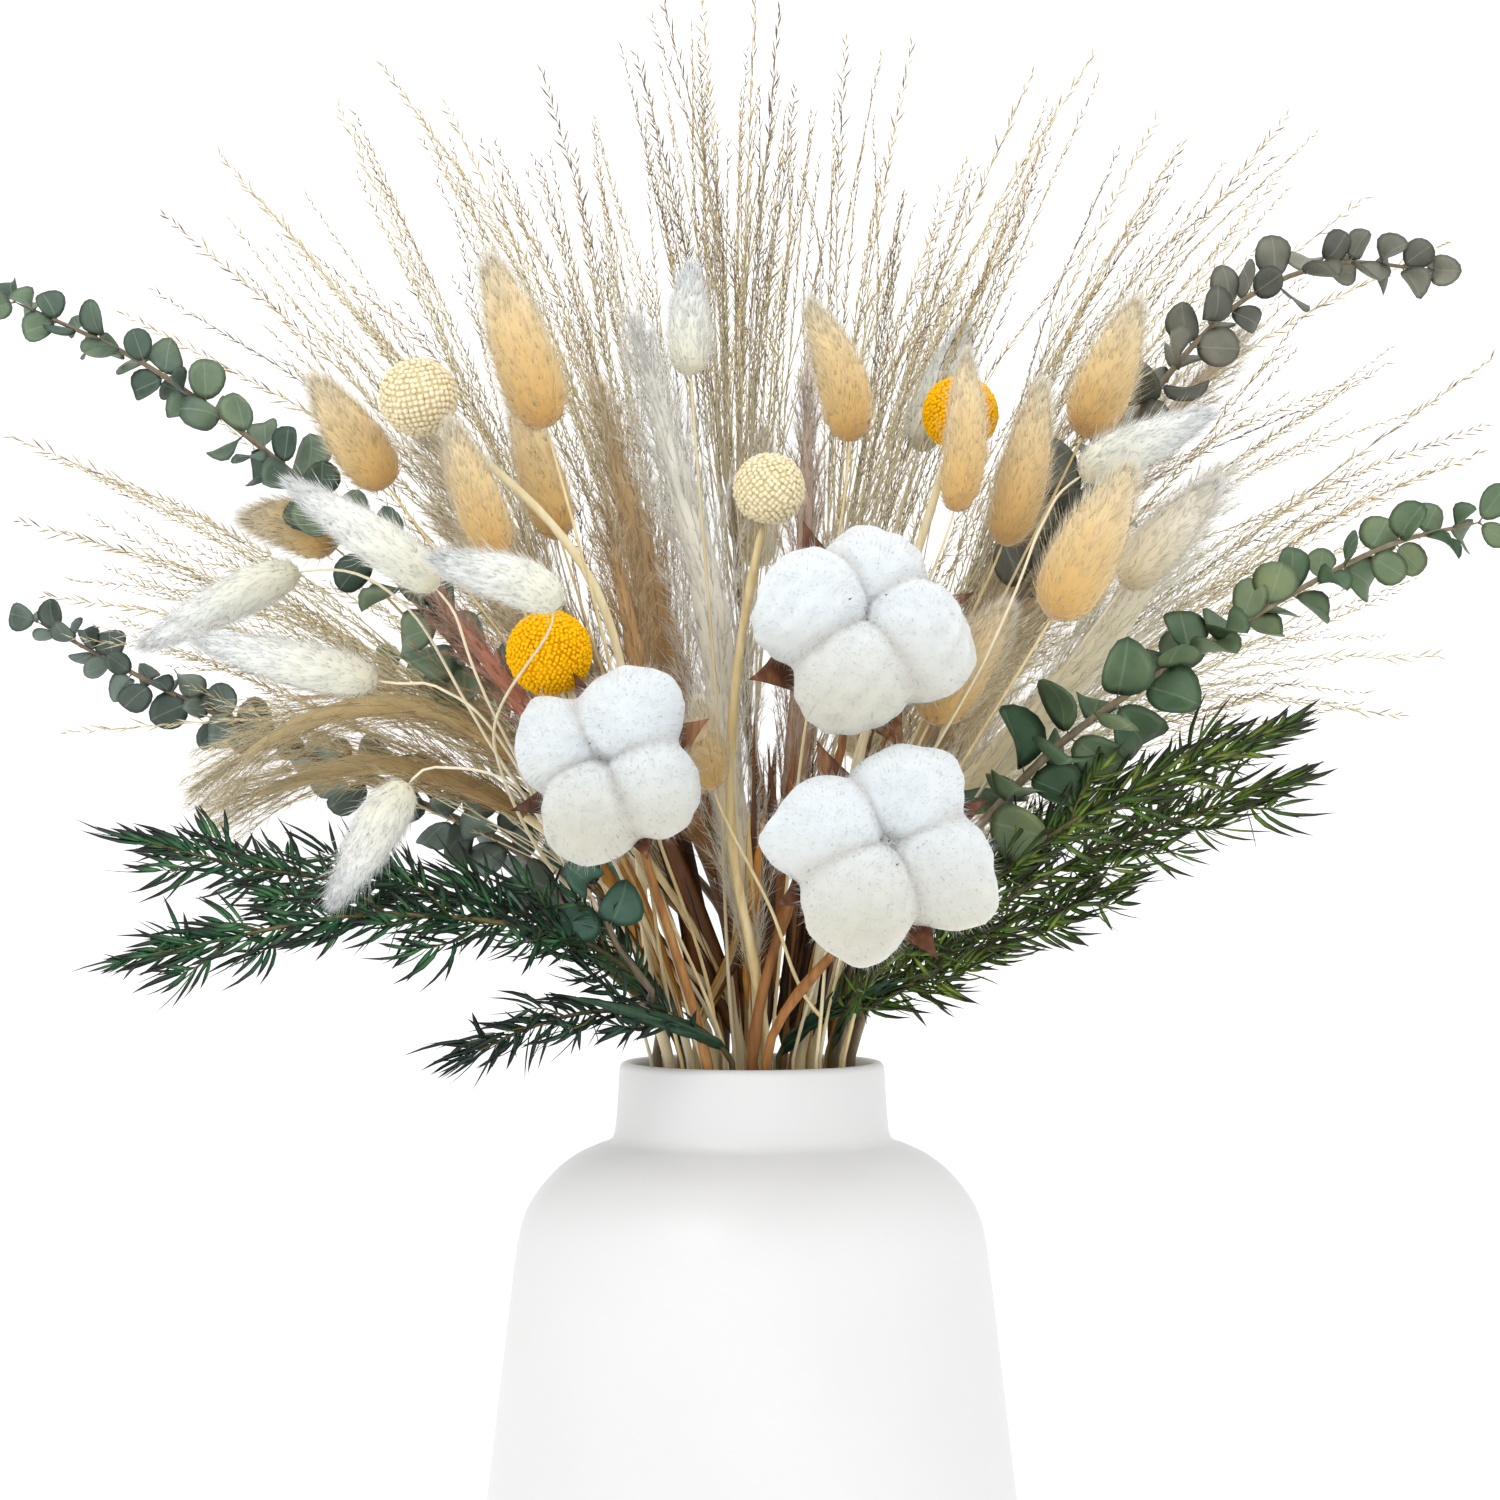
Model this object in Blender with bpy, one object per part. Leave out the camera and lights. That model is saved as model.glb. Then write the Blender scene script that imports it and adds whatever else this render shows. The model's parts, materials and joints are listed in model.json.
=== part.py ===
# A dried flower bouquet standing in its white vase.
# Units are millimetres inside the tables and metres in the meshes; +Z is up and -Y is the front.
# The origin is the middle of the vase's flat foot.
import math

import bmesh
import bpy
import numpy as np

MM = 0.001
GAP = 0.3                     # clearance between neighbouring pieces

# The vase, turned: foot, shoulder, neck and mouth
VASE_HEIGHT = 220.0
VASE_WALL = 5.0
FOOT_RADIUS = 89.0
BODY_LOW = (101.0, 13.0)      # radius and height where the foot's round edge ends
BODY_MIDDLE = (93.6, 78.0)
BODY_HIGH = (84.6, 154.0)     # radius and height where the shoulder starts
NECK_FOOT = (50.5, 192.0)
LIP_RADIUS = 47.7
BORE_RADIUS = 42.5
VASE_SIDES = 32

# The eye that the arrangement is composed for, in front of the vase
EYE_DISTANCE = 1600.0
EYE_HEIGHT = 332.0

# Where stems pass the mouth, and how they cross the vase to its floor
FLOOR = VASE_WALL + 7.0
MOUTH_LEVEL = 222.0
SLOTS = 64
SLOT_REACH = 38.6
GOLDEN_ANGLE = math.pi * (3.0 - math.sqrt(5.0))
STEM_TWIST = math.radians(60.0)
STEM_SPREAD = 0.8
NECK_UP = np.array((0.0, 0.0, 0.4))      # how much a stem turns up as it leaves the mouth, and outwards
NECK_OUT = 0.5
NECK_REACH = 60.0
NECK_WALL_RUN = 12.0          # below this much of the neck the vase's body is wide
STEM_BOW = 0.10               # how far a stem bows inwards, as a share of its lean
FORK_LEVEL = 16.0             # how far above the mouth a shared stem forks
FORK_FORWARD = 0.8            # how much a branch keeps to its stem's direction where it forks

# The search for room: the tries, and how far the last of them move, bend and change slots
ATTEMPTS = 1200
SHIFT_REACH = np.array((10.0, 26.0, 10.0))
BEND_REACH = np.array((22.0, 22.0, 8.0))
CHOICE_REACH = 14.0
STEM_SHARE = 0.7              # the share of a head's shift that its stem follows
FORK_STEP = 3.0
ROD_SPOTS = 6                 # where along a rod its distance from the vase is taken

# The room a head takes, for a head of size 1: along a tail and a plume, and round a ball and a boll
TAIL_ROOM = np.array((0.6, 0.92, 0.92, 0.75, 0.4))
PLUME_ROOM = np.array((0.5, 0.85, 0.92, 0.92, 0.85, 0.65, 0.4))
BALL_ROOM = 1.04
BOLL_ROOM = 1.07
BALL_ROD = np.array((0.0, 0.0, 0.1))
BOLL_STAND = 0.98             # from the stem's end to the boll's middle

FORK_RUN = 8.0                # a branch's length before its first free ring
FORK_SPAN = np.array((2.0, 5.0, FORK_RUN))
FORK_ROOM = 0.5               # the room round a branch's first stretch, beside its own radius
FORK_HALF = 1.5               # half of the short band that a branch grows from
FORK_CLEAR = 5.0              # no other ring this near a fork
ELBOW = 1.8                   # how far a branch stands out before it turns up its own way
STEM_STEP = 25.0              # between the rings of a stem
STEM_SIDES = 3
NODE_SPACING = {"eucalyptus": 2.3, "fern": 0.5}    # between leaves or needles, for one as long as 1
SLOT_SPREAD = np.array((300.0, 190.0))   # how far out a plant reaches when its stem takes an outer slot

SEED = 137

STEM_RADIUS = {"cotton": 2.2, "craspedia": 1.5, "tail": 1.0, "plume": 1.4,
               "eucalyptus": 1.7, "fern": 1.2, "reed": 1.3}

# Each plant: name, kind, size, then its shoots. A shoot is its stem's points, if it bends on the way, and
# its head's points: across, depth and height as the eye sees them on the plane through the vase's axis.
PLANTS = [
    ("cotton_lower", "cotton", 35.0, [([(40, -52, 272)], [(50, -105, 296)])]),
    ("cotton_left", "cotton", 31.0, [([(-38, -48, 292)], [(-53, -95, 325)])]),
    ("cotton_upper", "cotton", 36.0, [([(28, -38, 335)], [(41, -87, 373)])]),
    ("craspedia_cream_middle", "craspedia", 12.2, [([(-4, -46, 300), (-2, -52, 360)], [(6, -62, 426)])]),
    ("craspedia_cream_left", "craspedia", 13.5, [([(-52, -32, 380)], [(-120, -50, 459)])]),
    ("craspedia_yellow_left", "craspedia", 14.5, [([(-45, -45, 310)], [(-73, -70, 367)])]),
    ("craspedia_yellow_right", "craspedia", 13.3, [([], [(75, -18, 453)])]),
    ("tail_tan_low_right", "tail", 14.5, [([], [(64, -48, 342), (93, -52, 384)])]),
    ("plume_rust_left", "plume", 9.0, [([], [(-66, -48, 324), (-84, -52, 350), (-114, -52, 388)])]),
    ("tail_tan_left", "tail", 13.0, [
        ([], [(-127, -50, 432), (-155, -55, 472)]),
        ([], [(-150, -5, 404), (-184, -8, 415)])]),
    ("tail_tan_inner_left", "tail", 11.5, [
        ([], [(-91, -62, 401), (-109, -66, 450)]),
        ([], [(-69, -8, 408), (-86, -8, 462)])]),
    ("tail_tan_tall_left", "tail", 15.0, [([], [(-74, -48, 448), (-95, -50, 510)])]),
    ("tail_tan_middle", "tail", 12.0, [([], [(35, -30, 443), (21, -32, 494)])]),
    ("tail_tan_slim", "tail", 10.0, [
        ([], [(73, -62, 418), (78, -60, 476)]),
        ([], [(-14, -52, 318), (-19, -54, 350)])]),
    ("tail_tan_inner_right", "tail", 12.0, [
        ([], [(91, -45, 405), (106, -47, 464)]),
        ([], [(134, -32, 391), (168, -34, 429)])]),
    ("tail_tan_tall_right", "tail", 14.0, [([], [(119, -20, 445), (139, -22, 494)])]),
    ("tail_tan_right", "tail", 16.0, [([], [(107, -72, 379), (136, -78, 434)])]),
    ("tail_tan_back_left", "tail", 13.0, [
        ([], [(-72, 62, 372), (-104, 84, 415)]),
        ([], [(-30, 92, 352), (-42, 128, 392)])]),
    ("tail_tan_back_right", "tail", 13.0, [
        ([], [(84, 66, 380), (112, 92, 420)]),
        ([], [(38, 88, 330), (52, 126, 362)])]),
    ("tail_white_middle", "tail", 10.0, [([], [(-22, -34, 467), (-22, -34, 507)])]),
    ("tail_white_right", "tail", 11.0, [
        ([(84, -60, 379), (102, -60, 422)], [(116, -58, 433), (163, -58, 456)])]),
    ("tail_white_left", "tail", 11.0, [
        ([(-80, -55, 350)], [(-113, -78, 389), (-167, -86, 428)]),
        ([(-52, -56, 328)], [(-77, -84, 386), (-121, -100, 404)])]),
    ("tail_white_far_left", "tail", 10.5, [
        ([(-96, -45, 337), (-127, -40, 386)], [(-163, -40, 396), (-221, -44, 369)]),
        ([(-87, -55, 330), (-112, -68, 354)], [(-135, -70, 357), (-202, -78, 372)])]),
    ("tail_white_hanging", "tail", 11.0, [
        ([(-69, -62, 303), (-85, -86, 322), (-107, -92, 327)], [(-123, -94, 319), (-151, -98, 275)])]),
    ("tail_white_back", "tail", 11.0, [
        ([], [(2, 84, 398), (4, 108, 448)]),
        ([], [(60, 62, 440), (78, 80, 486)])]),
    ("plume_white", "plume", 17.0, [([], [(-8, -8, 318), (-14, -12, 385), (-40, -8, 483)])]),
    ("plume_tan_left", "plume", 16.0, [([], [(-24, 14, 322), (-37, 18, 384), (-56, 24, 460)])]),
    ("plume_brown_left", "plume", 11.0, [([], [(-34, -26, 326), (-43, -28, 366), (-52, -28, 412)])]),
    ("plume_beige_left", "plume", 16.0, [([], [(-56, -4, 338), (-78, 2, 387), (-118, 8, 448)])]),
    ("plume_drooping_left", "plume", 15.0, [
        ([(-52, -36, 290)], [(-84, -48, 326), (-122, -54, 349), (-166, -56, 346), (-203, -58, 325)]),
        ([(-52, -20, 282)], [(-96, -20, 314), (-140, -22, 326), (-190, -24, 312)])]),
    ("plume_rose", "plume", 12.0, [([], [(16, 2, 330), (19, 8, 392), (20, 12, 465)])]),
    ("plume_cream_right", "plume", 18.0, [([], [(74, -20, 312), (114, -22, 356), (168, -18, 430)])]),
    ("plume_beige_right", "plume", 15.0, [([], [(58, 18, 318), (100, 26, 390), (178, 36, 480)])]),
    ("plume_back_left", "plume", 16.0, [([], [(-36, 46, 300), (-62, 74, 352), (-108, 112, 418)])]),
    ("plume_back_right", "plume", 16.0, [([], [(40, 52, 310), (60, 88, 350), (92, 132, 398)])]),
    ("eucalyptus_left_high", "eucalyptus", 9.0, [
        ([(-56, -24, 300)], [(-104, -28, 359), (-159, -24, 418), (-217, -20, 463), (-270, -12, 489)])]),
    ("eucalyptus_left_low", "eucalyptus", 8.5, [
        ([], [(-44, -46, 252), (-64, -48, 270), (-91, -36, 298), (-163, -22, 330), (-217, -10, 355),
              (-268, 0, 382)]),
        ([], [(-36, -50, 242), (-50, -56, 262), (-58, -60, 284)])]),
    ("eucalyptus_right_low", "eucalyptus", 10.5, [
        ([(52, -34, 274)],
         [(93, -42, 316), (123, -48, 343), (176, -45, 377), (226, -40, 404), (264, -36, 414)])]),
    ("eucalyptus_right_high", "eucalyptus", 10.0, [
        ([(46, 6, 296)], [(104, 12, 400), (161, 16, 480), (204, 20, 506), (245, 26, 505)])]),
    ("eucalyptus_back", "eucalyptus", 10.0, [
        ([(-12, 44, 270)], [(-46, 84, 310), (-92, 128, 344), (-146, 160, 362)])]),
    ("fern_left", "fern", 20.0, [
        ([(-38, -44, 250)], [(-66, -56, 266), (-100, -64, 278), (-140, -64, 284), (-182, -60, 290),
                             (-222, -54, 300)]),
        ([(-60, -56, 262)], [(-80, -68, 268), (-110, -72, 272), (-150, -76, 272), (-228, -72, 256)])]),
    ("fern_left_rim", "fern", 18.0, [
        ([(-34, -50, 236)], [(-56, -62, 238), (-80, -68, 232), (-104, -70, 221)])]),
    ("fern_right", "fern", 20.0, [
        ([(40, -36, 246)], [(56, -42, 262), (82, -46, 282), (125, -50, 312), (192, -44, 340)]),
        ([], [(76, -32, 266), (108, -30, 288), (140, -28, 302), (196, -22, 322)])]),
    ("fern_right_rim", "fern", 18.0, [
        ([(42, -12, 240)], [(56, -16, 248), (78, -18, 260), (106, -16, 274), (134, -12, 286)])]),
    ("fern_back", "fern", 18.0, [([(20, 42, 250)], [(48, 72, 270), (88, 110, 296), (126, 148, 312)])]),
]

# Each culm of wispy grass: name, the point where it parts into strands, and the strands' tips
REEDS = [
    ("reed_left", (-88, 18, 338), [(-269, 20, 446), (-266, 2, 415), (-257, 58, 388), (-249, 8, 338),
        (-238, 70, 432)]),
    ("reed_left_high", (-56, 38, 368), [(-228, 30, 490), (-213, 60, 526), (-183, 22, 536),
        (-193, 118, 548), (-150, 92, 566)]),
    ("reed_top_left", (-34, 58, 398), [(-134, 104, 580), (-111, 132, 566), (-98, 40, 552), (-76, 92, 578),
        (-64, 156, 548)]),
    ("reed_top", (-6, 70, 412), [(-42, 100, 584), (-34, 52, 610), (-18, 144, 602), (2, 78, 616),
        (10, 34, 600), (16, 170, 572)]),
    ("reed_top_right", (28, 60, 398), [(34, 104, 590), (58, 62, 588), (78, 142, 546), (102, 92, 578),
        (124, 52, 584), (92, 172, 530)]),
    ("reed_right_high", (66, 42, 376), [(146, 100, 560), (156, 48, 552), (194, 82, 562), (190, 132, 540),
        (222, 56, 532), (252, 98, 516)]),
    ("reed_right", (92, 16, 340), [(268, 40, 474), (266, 82, 450), (264, 12, 440), (250, -8, 366),
        (236, 30, 344)]),
    ("reed_back_left", (-40, 62, 330), [(-176, 118, 440), (-150, 160, 420), (-112, 180, 452),
        (-200, 96, 400), (-70, 186, 470)]),
    ("reed_back_right", (40, 64, 332), [(170, 122, 436), (140, 168, 428), (106, 186, 466),
        (196, 104, 396), (60, 192, 486)]),
]

COLOURS = {
    "vase": (0.90, 0.90, 0.89),
    "cotton_lint": (0.93, 0.92, 0.89),
    "cotton_bur": (0.16, 0.07, 0.03),
    "craspedia_cream": (0.78, 0.66, 0.42),
    "craspedia_yellow": (0.93, 0.52, 0.02),
    "tail_tan": (0.68, 0.45, 0.20),
    "tail_white": (0.88, 0.85, 0.77),
    "plume": (0.52, 0.34, 0.18),
    "plume_white": (0.74, 0.72, 0.66),
    "plume_cream": (0.78, 0.70, 0.54),
    "plume_rust": (0.33, 0.09, 0.04),
    "eucalyptus": (0.17, 0.27, 0.20),
    "fern": (0.03, 0.10, 0.04),
    "reed": (0.42, 0.32, 0.22),
    "stem": (0.62, 0.46, 0.20),
}
GLAZE_ROUGHNESS = 0.45
DRY_ROUGHNESS = 0.9
SHARP_ANGLE = math.radians(40.0)


# Vectors

def unit(vector):
    return vector / np.linalg.norm(vector)


def square_to(direction, hint):
    """The unit vector at right angles to a direction that leans most towards a hint."""
    return unit(hint - direction * np.dot(hint, direction))


def seen(point):
    """The place in space of a point given as the eye sees it."""
    x, y, z = point
    nearness = (EYE_DISTANCE + y) / EYE_DISTANCE
    return np.array((x * nearness, y, EYE_HEIGHT + (z - EYE_HEIGHT) * nearness))


class Curve:
    """A smooth line through points, measured along its length."""

    def __init__(self, points, start=None, end=None, steps=14):
        knots = np.array(points, dtype=float)
        slopes = np.gradient(knots, axis=0)
        slopes[-1] = knots[-1] - knots[-2]
        if end is not None:
            slopes[-1] = end * np.linalg.norm(slopes[-1])
        if start is not None:
            slopes[0] = start * np.linalg.norm(knots[1] - knots[0])
        share = np.linspace(0.0, 1.0, steps, endpoint=False)[:, None]
        square, cube = share ** 2, share ** 3
        dense = [knots[i] * (2 * cube - 3 * square + 1) + slopes[i] * (cube - 2 * square + share)
                 + knots[i + 1] * (3 * square - 2 * cube) + slopes[i + 1] * (cube - square)
                 for i in range(len(knots) - 1)]
        self.points = np.vstack(dense + [knots[-1:]])
        steps_along = np.linalg.norm(np.diff(self.points, axis=0), axis=1)
        self.marks = np.concatenate(([0.0], np.cumsum(steps_along)))
        self.knots = self.marks[::steps]
        self.length = self.marks[-1]

    def at(self, along):
        return np.stack([np.interp(along, self.marks, axis) for axis in self.points.T], axis=-1)

    def heading(self, along):
        return unit(self.at(min(along + 0.5, self.length)) - self.at(max(along - 0.5, 0.0)))


# Room: every placed piece is kept as round-ended rods, and a new one is tried against them

def rod_gaps(starts, ends, radii, other_starts, other_ends, other_radii):
    """The clearance between each rod and each other rod."""
    run = (ends - starts)[:, None]
    other_run = (other_ends - other_starts)[None]
    between = starts[:, None] - other_starts[None]
    a = (run * run).sum(-1)
    e = (other_run * other_run).sum(-1)
    b = (run * other_run).sum(-1)
    c = (run * between).sum(-1)
    f = (other_run * between).sum(-1)
    spread = a * e - b * b
    s = np.clip(np.where(spread > 1e-9, (b * f - c * e) / np.maximum(spread, 1e-9), 0.0), 0.0, 1.0)
    t = np.clip((b * s + f) / e, 0.0, 1.0)
    s = np.clip((b * t - c) / a, 0.0, 1.0)
    apart = np.linalg.norm(between + s[..., None] * run - t[..., None] * other_run, axis=-1)
    return apart - radii[:, None] - other_radii[None]


class Rods:
    """Round-ended rods, each with two ends, a radius and the number of the plant that it belongs to."""

    def __init__(self, starts=(), ends=(), radii=(), owners=None):
        self.starts = np.array(starts, dtype=float).reshape(-1, 3)
        self.ends = np.array(ends, dtype=float).reshape(-1, 3)
        self.radii = np.array(radii, dtype=float).reshape(-1)
        self.owners = np.zeros(len(self.radii), dtype=int) if owners is None else owners

    @classmethod
    def along(cls, points, radii):
        """A chain of rods through points, each as thick as its thicker end."""
        radii = np.broadcast_to(np.array(radii, dtype=float), (len(points),))
        return cls(points[:-1], points[1:], np.maximum(radii[:-1], radii[1:]))

    def owned(self, owner):
        return Rods(self.starts, self.ends, self.radii, np.full(len(self.radii), owner))

    def plus(self, other):
        return Rods(np.vstack((self.starts, other.starts)), np.vstack((self.ends, other.ends)),
                    np.append(self.radii, other.radii), np.append(self.owners, other.owners))

    def clear_of(self, other, but=-1):
        """Whether none of these comes near the others, leaving out those of one plant."""
        if not len(self.radii) or not len(other.radii):
            return True
        low = np.minimum(self.starts, self.ends).min(0) - self.radii.max() - GAP
        high = np.maximum(self.starts, self.ends).max(0) + self.radii.max() + GAP
        reach = other.radii[:, None]
        near = (np.maximum(other.starts, other.ends) + reach > low).all(1) & (other.owners != but)
        near &= (np.minimum(other.starts, other.ends) - reach < high).all(1)
        if not near.any():
            return True
        gaps = rod_gaps(self.starts, self.ends, self.radii,
                        other.starts[near], other.ends[near], other.radii[near])
        return gaps.min() > GAP

    def clear_of_vase(self):
        """Whether these stay above the vase, outside it, in its neck or in its body."""
        shares = np.linspace(0.0, 1.0, ROD_SPOTS)[:, None, None]
        spots = (self.starts + shares * (self.ends - self.starts)).reshape(-1, 3)
        radii = np.tile(self.radii, ROD_SPOTS)
        out = np.hypot(spots[:, 0], spots[:, 1])
        above = spots[:, 2] - radii > VASE_HEIGHT + GAP
        in_body = (spots[:, 2] < NECK_FOOT[1] - NECK_WALL_RUN) & (out < BORE_RADIUS)
        inside = (out + radii < BORE_RADIUS - GAP) | in_body
        levels, widths = np.array([point[::-1] for point in outer_profile()]).T
        outside = out - radii > np.interp(spots[:, 2] - radii, levels, widths) + GAP
        return bool((above | inside | outside).all())


def slot_place(slot):
    """Where a stem passes the mouth: the slots fill it as seeds fill a flower's disc."""
    radius = SLOT_REACH * math.sqrt((slot + 0.5) / SLOTS)
    angle = slot * GOLDEN_ANGLE
    return np.array((radius * math.cos(angle), radius * math.sin(angle)))


def foot_place(mouth):
    """Where that stem stands on the vase's floor. All stems turn the same way, so none cross inside."""
    turned = complex(*mouth) * STEM_SPREAD * complex(math.cos(STEM_TWIST), math.sin(STEM_TWIST))
    return np.array((turned.real, turned.imag, FLOOR + GAP))


class Shoot:
    """One stem or branch: its curve, where its head starts along it, and its radius."""

    def __init__(self, curve, head_start, radius, parent_fork=None):
        self.curve = curve
        self.head_start = head_start
        self.radius = radius
        self.parent_fork = parent_fork

    def stations(self, low, high, spacing):
        count = max(1, round((high - low) / spacing))
        return np.linspace(low, high, count + 1)


def head_rods(kind, size, shoot):
    """The room that a shoot's head takes up."""
    curve, low, high = shoot.curve, shoot.head_start, shoot.curve.length
    if kind == "tail":
        return Rods.along(curve.at(np.linspace(low, high, len(TAIL_ROOM))), size * TAIL_ROOM)
    if kind == "plume":
        return Rods.along(curve.at(np.linspace(low, high, len(PLUME_ROOM))), size * PLUME_ROOM)
    if kind == "craspedia":
        end = curve.at(high)
        return Rods([end], [end + BALL_ROD], [size * BALL_ROOM])
    if kind == "cotton":
        centre = curve.at(high) + curve.heading(high) * size * BOLL_STAND
        return Rods([centre], [centre + BALL_ROD], [size * BOLL_ROOM])
    if kind in NODE_SPACING:
        return Rods.along(curve.at(np.append(leaf_nodes(kind, size, shoot), high)), shoot.radius)
    return Rods()


def leaf_nodes(kind, size, shoot):
    """Where along a leafy stem its leaves or needles grow."""
    return shoot.stations(shoot.head_start, shoot.curve.length - 0.4 * size, NODE_SPACING[kind] * size)


class Bouquet:
    """Finds room for the plants, one after another, in the order of the table."""

    def __init__(self):
        self.random = np.random.default_rng(SEED)
        self.taken = Rods()
        self.free = list(range(SLOTS))
        self.owner = 0

    def main_stem(self, slot, stem, head, bend, end):
        """A stem's foot, and its curve from the mouth to the end of its head."""
        mouth = slot_place(slot)
        foot = foot_place(mouth)
        neck = np.array((*mouth, MOUTH_LEVEL))
        lean = (head[0] - neck) * (1.0, 1.0, 0.0)
        outwards = NECK_OUT * lean / (np.linalg.norm(lean) + NECK_REACH)
        stem = stem or [(neck + head[0]) / 2 - lean * STEM_BOW]
        start = unit(unit(neck - foot) + NECK_UP + outwards)
        return foot, Curve([neck] + [point + bend for point in stem] + head, start, end)

    def branch(self, main, fork, stem, head, bend):
        """A curve that leaves a stem's side at a fork and ends with its own head."""
        root, heading = main.at(fork), main.heading(fork)
        stem = [point + bend for point in stem or [(root + head[0]) / 2]]
        start = unit(square_to(heading, stem[0] - root) + FORK_FORWARD * heading)
        return Curve([root] + stem + head, start)

    def place(self, name, kind, size, shoots):
        """Places a plant's main stem, and then its branches, each where it is clear of all before it."""
        grown, foot = [], None
        self.owner += 1
        for stem, head in shoots:
            found = self.search(kind, size, stem, head, grown[0] if grown else None)
            if not found:
                raise RuntimeError("no room for " + name)
            foot = foot if grown else found[0]
            grown.append(found[1])
        return foot, grown, self.owner

    def search(self, kind, size, stem, head, main):
        """Tries a shoot as the table gives it, and then ever further from there."""
        wish = SLOT_REACH * (np.array(head[0]) + head[-1])[:2] / SLOT_SPREAD
        wish *= min(1.0, SLOT_REACH / (np.linalg.norm(wish) + 1e-6))
        slots = sorted(self.free, key=lambda slot: np.linalg.norm(slot_place(slot) - wish))
        stem = [seen(point) for point in stem]
        head = [seen(point) for point in head]
        end = None
        if kind == "cotton":
            end = cotton_axis(head[0])
            head = [head[0] - end * size * BOLL_STAND]
        for attempt in range(ATTEMPTS):
            spread = attempt / ATTEMPTS
            shift = self.random.normal(0.0, 1.0, 3) * SHIFT_REACH * spread
            bend = self.random.normal(0.0, 1.0, 3) * BEND_REACH * spread ** 0.5
            choice = int(abs(self.random.normal()) * CHOICE_REACH * spread)
            moved = [point + shift for point in head]
            moved_stem = [point + shift * STEM_SHARE for point in stem]
            foot = fork = None
            if main is None:
                slot = slots[min(choice, len(slots) - 1)]
                foot, curve = self.main_stem(slot, moved_stem, moved, bend, end)
            else:
                fork = FORK_LEVEL + FORK_STEP * choice
                curve = self.branch(main.curve, fork, moved_stem, moved, bend)
            head_start = curve.knots[-len(head)] if len(head) > 1 else curve.length
            shoot = Shoot(curve, head_start, STEM_RADIUS[kind], fork)
            first = 0.0 if main is None else FORK_RUN
            rods = Rods.along(curve.at(shoot.stations(first, head_start, STEM_STEP)), shoot.radius)
            if main is None:
                rods = rods.plus(Rods.along(np.array((foot, curve.points[0])), shoot.radius))
            rods = rods.plus(head_rods(kind, size, shoot))
            fork_rods = Rods()
            if main is not None:
                fork_rods = Rods.along(curve.at(FORK_SPAN), shoot.radius + FORK_ROOM)
            if not (rods.clear_of_vase() and self.claim(rods, fork_rods, self.owner)):
                continue
            if main is None:
                self.free.remove(slot)
            return foot, shoot
        return None

    def claim(self, rods, root, owner):
        """Takes the room for rods, and for a root that may touch only its own plant, if it is free."""
        if not (rods.clear_of(self.taken) and root.clear_of(self.taken, owner)):
            return False
        self.taken = self.taken.plus(rods.owned(owner)).plus(root.owned(owner))
        return True


# Growing: a closed surface made ring by ring, whose side faces may carry spikes, leaves or branches

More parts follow.
